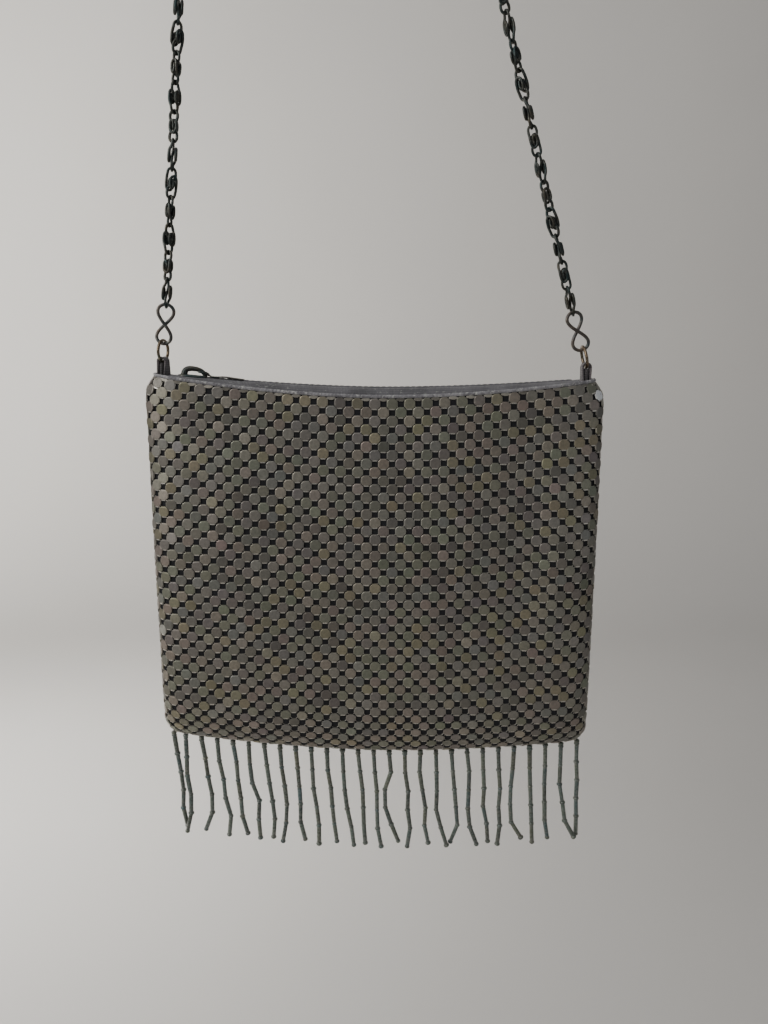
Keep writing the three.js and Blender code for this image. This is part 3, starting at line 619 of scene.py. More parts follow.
def lining_cloth(settings):
    """Matt cloth with a fine weave and a faint blue cast; its near-black colour is the dark cloth darkened further
    with painted shade for the holes between the plates.
    """
    material, tree, shader = start_material("lining_cloth", settings.lining_colour, 0.9)
    height, _ = weave(tree, uv_place(tree), 400.0)
    blotch = span(tree, noise(tree, object_place(tree), 60.0, 2.0), 0.6, 1.5, 0.3, 0.7)
    colour = mix(tree, 1.0, settings.lining_colour, blotch, "MULTIPLY")
    tree.links.new(colour, shader.inputs["Base Color"])
    shader.inputs["Sheen Weight"].default_value = 0.03
    bump(tree, shader, height, 0.08 * MM, 0.6)
    return material


def tape_cloth(settings):
    """Woven zip tape: fine cross ribs, uneven dye, and pale flecks of worn thread."""
    material, tree, shader = start_material("tape_cloth", settings.tape_colour, 0.78)
    place = uv_place(tree)
    ribs = add_node(tree, "ShaderNodeTexWave", {"Vector": place, "Scale": 480.0, "Distortion": 1.2, "Detail": 2.0},
                    wave_type="BANDS", bands_direction="X").outputs["Fac"]
    rows = add_node(tree, "ShaderNodeTexWave", {"Vector": place, "Scale": 260.0, "Distortion": 0.8, "Detail": 1.0},
                    wave_type="BANDS", bands_direction="Y").outputs["Fac"]
    dye = span(tree, noise(tree, object_place(tree), 120.0, 4.0), 0.65, 1.3, 0.3, 0.7)
    colour = mix(tree, 1.0, settings.tape_colour, dye, "MULTIPLY")
    colour = mix(tree, math_node(tree, "MULTIPLY", ribs, 0.35), colour, (0.05, 0.045, 0.06), "MIX")
    flecks = span(tree, noise(tree, object_place(tree, (0.6, 1, 1)), 800.0, 2.0, 0.7), 0.0, 1.0, 0.60, 0.70)
    colour = mix(tree, math_node(tree, "MULTIPLY", flecks, 0.45), colour, (0.34, 0.35, 0.32))
    tree.links.new(colour, shader.inputs["Base Color"])
    shader.inputs["Sheen Weight"].default_value = 0.2
    bump(tree, shader, math_node(tree, "ADD", ribs, rows), 0.12 * MM, 0.7)
    return material


def piping_satin(settings):
    """Pale satin edge with soft soiling and a twisted thread."""
    material, tree, shader = start_material("piping_satin", settings.piping_colour, 0.5)
    place = object_place(tree)
    dirt = span(tree, noise(tree, place, 330.0, 4.0, 0.65), 0.0, 1.0, 0.40, 0.60)
    colour = mix(tree, math_node(tree, "MULTIPLY", dirt, 0.8), settings.piping_colour, (0.085, 0.08, 0.09))
    frayed = span(tree, noise(tree, place, 620.0, 3.0, 0.7), 0.0, 1.0, 0.56, 0.66)
    colour = mix(tree, math_node(tree, "MULTIPLY", frayed, 0.75), colour, (0.46, 0.46, 0.43))
    tree.links.new(colour, shader.inputs["Base Color"])
    twist = add_node(tree, "ShaderNodeTexWave", {"Vector": uv_place(tree, (1, 0.0022, 1)), "Scale": 420.0,
                                                 "Distortion": 0.4}, wave_type="BANDS", bands_direction="DIAGONAL")
    shader.inputs["Sheen Weight"].default_value = 0.3
    bump(tree, shader, twist.outputs["Fac"], 0.12 * MM, 0.6)
    return material


def dark_metal(name, colour, pale, roughness=0.33):
    """Oxidised wire: dark, with teal and brown casts in patches, rubbed paler here and there."""
    material, tree, shader = start_material(name, colour, roughness, 0.85)
    place = object_place(tree)
    cast = ramp(tree, noise(tree, place, 190.0, 3.0), [
        (0.3, (colour[0] * 0.7, colour[1] * 1.0, colour[2] * 1.1)),
        (0.5, colour),
        (0.7, (colour[0] * 1.35, colour[1] * 1.1, colour[2] * 0.9)),
    ])
    rubbed = span(tree, noise(tree, place, 650.0, 4.0, 0.65), 0.0, 1.0, 0.52, 0.72)
    tree.links.new(mix(tree, math_node(tree, "MULTIPLY", rubbed, 0.6), cast, pale), shader.inputs["Base Color"])
    tree.links.new(span(tree, noise(tree, place, 1500.0, 3.0), roughness - 0.1, roughness + 0.14, 0.3, 0.7),
                   shader.inputs["Roughness"])
    bump(tree, shader, noise(tree, place, 3000.0, 2.0), 0.03 * MM, 0.5)
    return material


def aged_brass(settings):
    """Brass gone brown, with brighter rubbed patches."""
    return dark_metal("aged_brass", settings.brass_colour, (0.60, 0.48, 0.32), 0.22)


def ribbon_cloth(settings):
    """Grosgrain ribbon: raised ribs across, with uneven dye, multiplied by each point's tint, which paints the cut end
    darker as painted shade.
    """
    material, tree, shader = start_material("ribbon_cloth", settings.ribbon_colour, 0.72)
    ribs = add_node(tree, "ShaderNodeTexWave",
                    {"Vector": uv_place(tree), "Scale": 330.0, "Distortion": 0.4, "Detail": 1.0},
                    wave_type="BANDS", bands_direction="X").outputs["Fac"]
    dye = span(tree, noise(tree, object_place(tree), 240.0, 4.0), 0.6, 1.35, 0.3, 0.7)
    colour = mix(tree, 1.0, settings.ribbon_colour, dye, "MULTIPLY")
    colour = mix(tree, 1.0, colour, tint_of(tree)[0], "MULTIPLY")
    colour = mix(tree, span(tree, ribs, 0.45, 0.0), colour, (0.035, 0.03, 0.032))
    tree.links.new(colour, shader.inputs["Base Color"])
    shader.inputs["Sheen Weight"].default_value = 0.25
    bump(tree, shader, ribs, 0.14 * MM, 0.8)
    return material


def bead_glass(settings):
    """Dark grey-green glass beads with a satin coat; each bead has its own tint."""
    material, tree, shader = start_material("bead_glass", settings.bead_colour, 0.2)
    tint, _ = tint_of(tree)
    colour = mix(tree, 1.0, settings.bead_colour, tint, "MULTIPLY")
    film = span(tree, noise(tree, object_place(tree), 420.0, 4.0, 0.6), 0.0, 0.45, 0.45, 0.7)
    colour = mix(tree, film, colour, (0.16, 0.15, 0.12))
    tree.links.new(colour, shader.inputs["Base Color"])
    tree.links.new(span(tree, noise(tree, object_place(tree), 900.0, 3.0), 0.14, 0.42, 0.3, 0.7),
                   shader.inputs["Roughness"])
    shader.inputs["Specular IOR Level"].default_value = 0.65
    shader.inputs["Coat Weight"].default_value = 0.5
    shader.inputs["Coat Roughness"].default_value = 0.12
    return material


def studio_paint(name, colour):
    """Plain pale paint for the wall and floor, with a very faint unevenness."""
    material, tree, shader = start_material(name, colour, 0.9)
    soft = span(tree, noise(tree, object_place(tree), 1.6, 2.0), 0.97, 1.03, 0.3, 0.7)
    tree.links.new(mix(tree, 1.0, colour, soft, "MULTIPLY"), shader.inputs["Base Color"])
    return material


# ---- settings --------------------------------------------------------------------------------------

def length_property(name, description, default):
    return bpy.props.FloatProperty(name=name, description=description, default=default, min=0.0, precision=5,
                                   unit="LENGTH", subtype="DISTANCE")


def colour_property(name, description, default):
    return bpy.props.FloatVectorProperty(name=name, description=description, default=default, size=3, min=0.0,
                                         max=1.0, subtype="COLOR")


class PursePouchSettings(bpy.types.PropertyGroup):
    plates_round: bpy.props.IntProperty(name="Plates round", description="Plates in one row round the pouch",
                                        default=57, min=8)
    half_rows: bpy.props.IntProperty(name="Half rows", description="Half rows from the mouth to the bottom line",
                                     default=46, min=4)
    first_row: length_property("First row", "Distance of the first row below the mouth's edge", 2.4 * MM)
    plate_width: length_property("Plate width", "Plate from flat to flat along a row", 4.30 * MM)
    plate_diagonal: length_property("Plate diagonal", "Plate from flat to flat between rows", 5.06 * MM)
    arm_width: length_property("Arm width", "Width of an arm bent round a ring", 2.15 * MM)
    link_ring_radius: length_property("Ring radius", "Radius of the small rings that join the plates", 2.0 * MM)
    link_ring_wire: length_property("Ring wire", "Radius of the small rings' wire", 0.17 * MM)
    plate_tilt: bpy.props.FloatProperty(name="Plate tilt", description="How far single plates lean at random",
                                        default=2.2 * DEGREE, subtype="ANGLE")
    seed: bpy.props.IntProperty(name="Seed", description="Seed of the plates' tints and leans", default=11)
    lining_inset: length_property("Lining inset", "Depth of the lining below the plates", 1.15 * MM)
    metal_colour: colour_property("Plate colour", "Aged metal of the plates", (0.245, 0.231, 0.204))
    patina_colour: colour_property("Patina", "Dark patina on the plates", (0.085, 0.080, 0.071))
    # Paler rim colour: the rings' own wire and worn rims, and also the painted highlight on the plates' arms.
    rim_colour: colour_property("Rim colour", "Worn metal at rims and rings", (0.56, 0.53, 0.47))
    # Near-black: the dark cloth darkened further as painted shade in the holes between the plates.
    lining_colour: colour_property("Lining colour", "Cloth of the lining", (0.0025, 0.0028, 0.0045))


class PurseMouthSettings(bpy.types.PropertyGroup):
    coil_radius: length_property("Ridge radius", "Radius of the closed zip's ridge", 1.1 * MM)
    scallop_pitch: length_property("Scallop pitch", "Length of one scallop of the ridge", 2.6 * MM)
    tape_thickness: length_property("Tape thickness", "Thickness of the zip tape", 0.6 * MM)
    piping_radius: length_property("Piping half height", "Half height of the pale edge", 0.72 * MM)
    tape_colour: colour_property("Tape colour", "Woven zip tape", (0.096, 0.093, 0.099))
    piping_colour: colour_property("Piping colour", "Satin edge", (0.235, 0.228, 0.240))


class PurseHardwareSettings(bpy.types.PropertyGroup):
    ring_radius: length_property("Jump ring radius", "Radius of the jump rings", 4.5 * MM)
    ring_wire: length_property("Jump ring wire", "Radius of the jump rings' wire", 0.65 * MM)
    eight_wire: length_property("Figure eight wire", "Radius of the figure eight links' wire", 0.72 * MM)
    pull_length: length_property("Pull length", "Length of the zip pull", 20 * MM)
    wire_colour: colour_property("Wire colour", "Dark oxidised wire", (0.090, 0.082, 0.078))
    gunmetal_colour: colour_property("Gunmetal", "Slider, pull and chain", (0.048, 0.052, 0.048))
    brass_colour: colour_property("Brass", "Aged brass of the jump rings", (0.150, 0.120, 0.085))
    ribbon_colour: colour_property("Ribbon", "Ribbon of the corner tabs", (0.105, 0.090, 0.095))


class PurseChainSettings(bpy.types.PropertyGroup):
    link_pitch: length_property("Link pitch", "Distance from link to link", 11 * MM)
    link_half_width: length_property("Link half width", "Half the width of a scroll link", 2.35 * MM)
    link_half_depth: length_property("Link half depth", "Half the depth of a scroll link", 1.95 * MM)
    link_wire: length_property("Link wire", "Radius of the chain's wire", 0.60 * MM)
    link_turn: bpy.props.FloatProperty(name="Link turn", description="Turn from one link to the next",
                                       default=75 * DEGREE, subtype="ANGLE")


class PurseFringeSettings(bpy.types.PropertyGroup):
    bugle_radius: length_property("Long bead radius", "Radius of the long beads", 1.06 * MM)
    seed_radius: length_property("Small bead radius", "Radius of the small beads", 1.36 * MM)
    seed_height: length_property("Small bead height", "Height of the small beads", 1.9 * MM)
    bead_colour: colour_property("Bead colour", "Dark grey-green glass", (0.066, 0.086, 0.070))


class PurseStageSettings(bpy.types.PropertyGroup):
    wall_colour: colour_property("Wall colour", "Pale wall and floor", (0.62, 0.60, 0.575))
    camera_height: length_property("Camera height", "Camera below the hook, as a depth", 0.4334)
    camera_distance: length_property("Camera distance", "Camera in front of the purse", 0.3534)
    camera_pitch: bpy.props.FloatProperty(name="Camera pitch", description="Camera's tilt below level",
                                          default=12 * DEGREE, subtype="ANGLE")
    focal_share: bpy.props.FloatProperty(name="Focal length share", description="Focal length over the frame's height",
                                         default=799 / 1024)


# ---- operators -------------------------------------------------------------------------------------

def pouch_of(settings):
    return Pouch(settings.plates_round, settings.half_rows, settings.first_row)


class PURSE_OT_lining(bpy.types.Operator):
    """Build the dark cloth lining that shows between the plates"""

    bl_idname = "purse.lining"
    bl_label = "Lining"

    def execute(self, context):
        settings = context.scene.purse_pouch
        pouch = pouch_of(settings)
        rows = []
        steps = np.linspace(0, 1, 45)
        for step in steps:
            k = (step * pouch.end - pouch.first_row) / pouch.row_height
            here, _, _, out, _ = pouch.row(k)
            rows.append(here - out * settings.lining_inset)
        points = np.array(rows)
        points[-1, :, 1] = 0
        points[..., :] += POUCH_MIDDLE
        points[0, :, 2] += 0.4 * MM
        along = np.arange(pouch.columns) * pouch.pitch / 2
        uv = np.stack(np.broadcast_arrays(along, steps[:, None] * POUCH_HEIGHT), -1).reshape(-1, 2)
        shape = Shape()
        shape.add(points, grid_faces(len(steps), pouch.columns, loop_columns=True), uv)
        lining = shape.make("lining_pouch", lining_cloth(settings), ["lining"])
        merge_points(lining, 0.05 * MM)
        thickness = lining.modifiers.new("cloth", "SOLIDIFY")
        thickness.thickness = 0.9 * MM
        thickness.offset = -1
        return {"FINISHED"}


def merge_points(piece, distance):
    """Joins points that lie on each other, such as where the front and back meet."""
    work = bmesh.new()
    work.from_mesh(piece.data)
    bmesh.ops.remove_doubles(work, verts=work.verts, dist=distance)
    work.to_mesh(piece.data)
    work.free()


class PURSE_OT_mesh(bpy.types.Operator):
    """Build the linked plates and their rings, front and back"""

    bl_idname = "purse.mesh"
    bl_label = "Metal mesh"

    @staticmethod
    def tape_hooks(pouch):
        """Places and frames of the low half plates that join the first row's gaps to the tape."""
        here, along, down, out, _ = pouch.row((HOOK_DROP - pouch.first_row) / pouch.row_height)
        above_gap = np.arange(pouch.columns) % 2 == 1
        hooks = {}
        for side, on_side in (("front", pouch.front), ("back", ~pouch.front)):
            pick = above_gap & on_side
            hooks[side] = here[pick], np.stack([along[pick] * HOOK_WIDTH, -down[pick] * HOOK_DEPTH, out[pick]], 1)
        return hooks

    def execute(self, context):
        settings = context.scene.purse_pouch
        pouch = pouch_of(settings)
        random = np.random.default_rng(settings.seed)
        tints = np.array([
            [1.00, 0.99, 0.97], [0.94, 1.00, 0.88], [1.10, 1.00, 0.97], [1.12, 1.08, 0.86],
            [0.90, 0.93, 0.95], [0.72, 0.71, 0.70], [1.20, 1.16, 1.06], [0.88, 0.83, 0.86],
        ])
        chance = np.array([0.24, 0.17, 0.15, 0.10, 0.12, 0.08, 0.07, 0.07])
        plate, plate_faces, wear_and_highlight = plate_template(settings)
        ring, ring_faces = ring_template(settings)
        found = {(kind, side): [] for kind in ("plate", "ring") for side in ("front", "back")}
        column = np.arange(pouch.columns)
        hooks = self.tape_hooks(pouch)
        for k in range(settings.half_rows + 1):
            here, along, down, out, distance = pouch.row(k)
            is_plate = (k + column) % 2 == 0
            if k == settings.half_rows:
                kept = (distance < pouch.end + 0.3 * pouch.row_height) & pouch.front
            else:
                kept = distance < pouch.end - 0.35 * pouch.row_height
            for kind, chosen in (("plate", is_plate), ("ring", ~is_plate)):
                for side, on_side in (("front", pouch.front), ("back", ~pouch.front)):
                    pick = kept & chosen & on_side
                    frames = np.stack([along[pick], down[pick], out[pick]], 1)
                    found[kind, side].append((here[pick], frames))
        plate_material, ring_material = plate_metal(settings), ring_metal(settings)
        for side in ("front", "back"):
            places, frames = (np.concatenate(part) for part in zip(*found["plate", side]))
            lean = random.normal(0, settings.plate_tilt, (len(places), 2))
            out = unit(frames[:, 2] + lean[:, :1] * frames[:, 0] + lean[:, 1:] * frames[:, 1])
            along = unit(frames[:, 0] - (frames[:, 0] * out).sum(-1, keepdims=True) * out)
            low = np.clip((-places[:, 2] - LOW_ROWS_START) / LOW_ROWS_FADE, 0, 1)[:, None]
            narrow, short = 1 - LOW_ROWS_NARROW * low, 1 - LOW_ROWS_SHORT * low
            frames = np.stack([along * narrow, np.cross(out, along) * short, out], 1)
            tone = tints[random.choice(len(tints), len(places), p=chance)]
            tone = tone * random.normal(1.0, 0.07, (len(places), 1)) * random.normal(1.0, 0.02, (len(places), 3))
            # Painted light: the first listed plate takes a painted reflection as its tone, the others painted glints.
            for x, z, bright in PAINTED_GLINT_PLATES if side == "front" else ():
                nearest = np.argmin(np.hypot(places[:, 0] - x * MM, places[:, 2] - z * MM))
                tone[nearest] = bright
            hook_places, hook_frames = hooks[side]
            places, frames = np.concatenate([places, hook_places]), np.concatenate([frames, hook_frames])
            pale = random.uniform(0.7, 2.1, (len(hook_places), 1)) * np.array([[1.0, 0.99, 0.97]])
            tone = np.concatenate([tone, pale])
            points, faces = spread(plate, plate_faces, places + POUCH_MIDDLE, frames)
            tint = np.concatenate([np.repeat(tone, len(plate), 0), np.tile(wear_and_highlight, len(places))[:, None]], 1)
            shape = Shape()
            shape.add(points, faces, tint=tint)
            nodes = ["mesh_body"] if side == "front" else []
            shape.make(f"purse_mesh_{side}", plate_material, nodes, smooth=False)
            places, frames = (np.concatenate(part) for part in zip(*found["ring", side]))
            points, faces = spread(ring, ring_faces, places + POUCH_MIDDLE, frames)
            shape = Shape()
            shape.add(points, faces)
            shape.make(f"mesh_rings_{side}", ring_material, [])
        return {"FINISHED"}


def mouth_loop(steps):
    """Points round the mouth's edge at even steps, with the unit vector out of the pouch at each."""
    x, y, length = quarter_curve(0.0)
    total = length[-1]
    at = np.arange(steps) / steps * 4 * total
    quarter = (at // total).astype(int)
    reach = at % total
    reach = np.where(quarter % 2 == 0, reach, total - reach)
    px, py = np.interp(reach, length, x), np.interp(reach, length, y)
    right = np.where((quarter == 0) | (quarter == 1), 1, -1)
    back = np.where((quarter == 1) | (quarter == 2), 1, -1)
    points = np.column_stack([right * px, back * py, mouth_height(right * px)])
    ahead = unit(np.roll(points, -1, 0) - np.roll(points, 1, 0))
    return points, unit(np.cross(ahead, [0, 0, 1]))


class PURSE_OT_mouth(bpy.types.Operator):
    """Build the zip tapes, the zip's ridge and the pale piping along the mouth"""

    bl_idname = "purse.mouth"
    bl_label = "Mouth"

    def execute(self, context):
        settings = context.scene.purse_mouth
        tape, satin = tape_cloth(settings), piping_satin(settings)
        x = np.linspace(-TAPE_HALF_LENGTH, TAPE_HALF_LENGTH, 260)
        depth = MOUTH_HALF_DEPTH * np.sqrt(1 - np.abs(x / half_width_at(0.0)) ** SIDE_FULLNESS)
        past = np.clip((np.abs(x) - ZIP_HALF_LENGTH) / (5 * MM), 0, 1)
        past = past * past * (3 - 2 * past)
        share = np.linspace(0, 1, 9)[:, None]
        for name, side in (("front", -1), ("back", 1)):
            foot, head = depth - 0.35 * MM, (1.25 * (1 - past) + 0.05 * past) * MM
            y = side * (foot + (head - foot) * share)
            rise = (ridge_height(x) + 0.5 * MM) * (1 - past) + 0.9 * MM * past
            z = 0.2 * MM + (rise - 0.2 * MM) * np.sin(share * math.pi / 2) ** 0.9 + mouth_height(x)
            ripple = 0.12 * MM * np.sin(x / (3.1 * MM)) * np.sin(share * math.pi)
            points = np.stack(np.broadcast_arrays(x, y + side * ripple, z), -1) + POUCH_MIDDLE
            uv = np.stack(np.broadcast_arrays(x, share * 6 * MM), -1).reshape(-1, 2)
            faces = grid_faces(len(share), len(x))
            shape = Shape()
            shape.add(points, faces if side < 0 else faces[:, ::-1], uv)
            piece = shape.make(f"tape_{name}", tape, [f"zip_tape_{name}"])
            cloth = piece.modifiers.new("cloth", "SOLIDIFY")
            cloth.thickness = settings.tape_thickness
            cloth.offset = -1
        loop, out = mouth_loop(560)
        path = loop + POUCH_MIDDLE + out * 0.30 * MM + np.array([0, 0, 0.80 * MM])
        half = len(path) // 4
        pinch = settings.piping_radius * (1 + 0.06 * np.sin(np.arange(len(path)) * 2 * math.pi / 4))
        for name, start in (("front", -half), ("back", half)):
            pick = np.arange(start, start + 2 * half + 1) % len(path)
            points, faces, uv = tube(path[pick], pinch[pick], 10, side=(0, 0, 1), flatten=0.5)
            shape = Shape()
            shape.add(points, faces, uv)
            shape.make(f"edge_piping_{name}", satin, [f"piping_{name}"])
        x = np.linspace(-1, 1, 900) * (ZIP_HALF_LENGTH - 1.5 * MM)
        path = np.column_stack([x, np.zeros(len(x)), mouth_height(x) + ridge_height(x)]) + POUCH_MIDDLE
        phase = x / settings.scallop_pitch * math.pi
        angle = 2 * math.pi * np.arange(12) / 12
        ahead, first, second = path_frames(path, np.array([0.0, 0.0, 1.0]))
        radius = settings.coil_radius * (0.90 + 0.16 * np.abs(np.sin(phase[:, None] + angle)))
        around = first[:, None] * np.cos(angle)[:, None] + second[:, None] * np.sin(angle)[:, None]
        points = path[:, None] + radius[..., None] * around
        uv = np.stack(np.broadcast_arrays(x[:, None], angle / (2 * math.pi) * 7 * MM), -1).reshape(-1, 2)
        shape = Shape()
        shape.add(points, section_faces(len(x), 12), uv)
        shape.make("zip_ridge", tape, ["zip_coil"])
        return {"FINISHED"}


class PURSE_OT_slider(bpy.types.Operator):
    """Build the zip slider with its arched bridge, and the flat pull that hangs on it"""

    bl_idname = "purse.slider"
    bl_label = "Zip slider and pull"

    @staticmethod
    def pull_sag(x):
        """How far the bent pull lies below its own straight line at a distance x (mm) from its hinge."""
        near, far = np.clip((x - 2.4) / 3.2, 0, 1), np.clip((x - 6) / 6, 0, 1)
        return 1.25 * near * near * (3 - 2 * near) - 0.65 * far * far * (3 - 2 * far)

    def execute(self, context):
        settings = context.scene.purse_hardware
        metal = dark_metal("slider_metal", settings.gunmetal_colour, (0.16, 0.17, 0.155), 0.36)
        shape = Shape()
        along = np.linspace(-5.7, 5.7, 25)
        narrow = 1 - 0.30 * np.abs(along / 5.7) ** 3
        outline = np.array([[-2.5, -2.0], [-2.5, -0.85], [-1.9, -0.66], [0, -0.55], [1.9, -0.66], [2.5, -0.85],
                            [2.5, -2.0], [1.9, -2.0], [1.9, -1.2], [0, -0.95], [-1.9, -1.2], [-1.9, -2.0]])
        section = np.zeros((len(along), len(outline), 3))
        section[..., 0] = along[:, None]
        section[..., 1] = outline[:, 0] * narrow[:, None]
        section[..., 2] = outline[:, 1]
        count = len(outline)
        faces = grid_faces(len(along), count, loop_columns=True).tolist()
        last = (len(along) - 1) * count
        cap = [[0, 1, 10, 11], [1, 2, 3, 9], [1, 9, 10], [3, 4, 5, 9], [5, 8, 9], [5, 6, 7, 8]]
        faces += [face[::-1] for face in cap] + [[i + last for i in face] for face in cap]
        shape.add(turn_about_y(section.reshape(-1, 3) * MM, SLIDER_TURN) + SLIDER_PLACE, faces)
        arch = smooth_path([(-4.1, 0, -0.9), (-4.0, 0, 0.2), (-3.5, 0, 1.2), (-2.3, 0, 1.85), (-0.6, 0, 2.02),
                            (1.5, 0, 1.85), (3.3, 0, 1.25), (4.5, 0, 0.3), (5.0, 0, -0.9)], 49)
        thick = np.interp(np.linspace(0, 1, 49), [0, 0.25, 0.5, 0.75, 1], [1.55, 1.25, 1.08, 0.98, 0.98])
        points, faces, _ = tube(arch * MM, thick * MM, 16, side=(0, 1, 0))
        points[:, 1] *= 1.1
        shape.add(turn_about_y(points, SLIDER_TURN) + SLIDER_PLACE, faces)
        shape.make("slider_and_bridge", metal, ["zip_slider"])

        pull = Shape()
        eye = smooth_path([(0, -1.0, 0), (0, 0, 0), (0, 1.0, 0), (0.35, 1.62, 0), (1.2, 1.75, 0), (2.6, 1.75, 0),
                           (3.8, 1.6, 0), (4.4, 0.9, 0), (4.5, 0, 0), (4.4, -0.9, 0), (3.8, -1.6, 0), (2.6, -1.75, 0),
                           (1.2, -1.75, 0), (0.35, -1.62, 0)], 84, closed=True)
        eye[:, 2] -= self.pull_sag(eye[:, 0])
        points, faces, _ = tube(eye * MM, 0.38 * MM, 10, side=(0, 0, 1), closed=True)
        pull.add(turn_about_y(points, PULL_TURN) + PULL_PLACE, faces)
        length = settings.pull_length / MM
        t = np.concatenate([np.linspace(0, 0.86, 24, endpoint=False),
                            1 - 0.14 * np.cos(np.linspace(0, math.pi / 2, 12))])
        t = np.unique(np.round(np.concatenate([t, [0.999]]), 5))
        x = 4.3 + (length - 4.3) * t
        half = np.interp(x, [4.3, 5.2, 6.5, 12, 17.4], [0.9, 1.5, 1.6, 1.85, 2.1])
        end = np.clip((x - (length - 2.6)) / 2.6, 0, 1)
        half = np.maximum(half * np.sqrt(np.maximum(0, 1 - end ** 2)), 0.05)
        angle = 2 * math.pi * np.arange(20) / 20
        c, s = np.cos(angle), np.sin(angle)
        y = half[:, None] * np.sign(c) * np.abs(c) ** 0.45
        z = np.minimum(0.30, 0.2 + half[:, None]) * np.sign(s) * np.abs(s) ** 0.6
        z = z - self.pull_sag(x)[:, None]
        leaf = np.stack(np.broadcast_arrays(x[:, None], y, z), -1).reshape(-1, 3)
        pull.add(turn_about_y(leaf * MM, PULL_TURN) + PULL_PLACE, section_faces(len(x), 20))
        pull.make("pull_leaf", metal, ["zip_pull"], body="pull")
        return {"FINISHED"}


class PURSE_OT_corners(bpy.types.Operator):
    """Build the ribbon tabs, the jump rings and the figure eight links at both corners"""

    bl_idname = "purse.corners"
    bl_label = "Corner hardware"

    def execute(self, context):
        settings = context.scene.purse_hardware
        ribbon, brass = ribbon_cloth(settings), aged_brass(settings)
        wire = dark_metal("figure_wire", settings.wire_colour, (0.34, 0.32, 0.27), 0.38)
        for corner in CORNERS:
            name = "left" if corner["side"] < 0 else "right"
            points, faces, uv = ribbon_tab()
            shape = Shape()
            place = np.array(corner["tab"]) * MM
            shape.add(turn_about_z(points, corner["tab_turn"] * DEGREE) + place, faces, uv)
            # The cut end is darkened to 0.3 of the ribbon's colour: painted shade between the two legs.
            points, faces, uv = ribbon_end()
            shape.add(turn_about_z(points, corner["tab_turn"] * DEGREE) + place, faces, uv, tint=(0.3, 0.3, 0.3, 0))
            shape.make(f"ribbon_tab_{name}", ribbon, [f"tab_{name}"])

            angle = np.linspace(0, 2 * math.pi, 72, endpoint=False)
            circle = np.column_stack([np.zeros(72), np.cos(angle), np.sin(angle)]) * settings.ring_radius
            points, faces, _ = tube(circle, settings.ring_wire, 16, side=(1, 0, 0), closed=True)
            points = turn_about_z(points, (corner["tab_turn"] - 90) * DEGREE)
            points = turn_about_y(points, corner["ring_lean"] * DEGREE) + np.array(corner["ring"]) * MM
            shape = Shape()
            shape.add(points, faces)
            shape.make(f"corner_ring_{name}", brass, [f"jump_ring_{name}"])

            angle = np.linspace(0, 2 * math.pi, 160, endpoint=False)
            pass_by = settings.eight_wire + 0.1 * MM
            lobes = np.sin(2 * angle) - 0.1 * np.sin(4 * angle)
            height = EIGHT_HEIGHT / 2 * np.cos(angle)
            eight = np.column_stack([EIGHT_WIDTH / 2 * lobes, pass_by * np.sin(angle), height])
            points, faces, _ = tube(eight, settings.eight_wire, 14, side=(0, 1, 0), closed=True)
            points = turn_about_y(points, corner["eight_lean"] * DEGREE) + np.array(corner["eight"]) * MM
            shape = Shape()
            shape.add(points, faces)
            shape.make(f"wire_eight_{name}", wire, [f"figure_eight_{name}"])
        return {"FINISHED"}


def ribbon_end():
    """The ribbon's cut end, turned up between the two legs: a flat section carried straight up."""
    z = np.linspace(-0.1, 5.5, 9)
    half = np.interp(z, [-0.1, 4.9, 5.5], [2.8, 2.2, 1.7])
    count = 20
    angle = 2 * math.pi * np.arange(count) / count
    c, s = np.cos(angle), np.sin(angle)
    x = half[:, None] * np.sign(c) * np.abs(c) ** 0.4
    y = np.interp(z, [-0.1, 4.9, 5.5], [0.85, 0.85, 0.5])[:, None] * np.sign(s) * np.abs(s) ** 0.7
    points = np.stack(np.broadcast_arrays(x, y, z[:, None]), -1).reshape(-1, 3)
    faces = grid_faces(len(z), count, loop_columns=True).tolist()
    faces += [list(range(count))[::-1], list(range((len(z) - 1) * count, len(z) * count))]
    uv = np.stack(np.broadcast_arrays(z[:, None] * MM, x * MM), -1).reshape(-1, 2)
    return points * MM, faces, uv


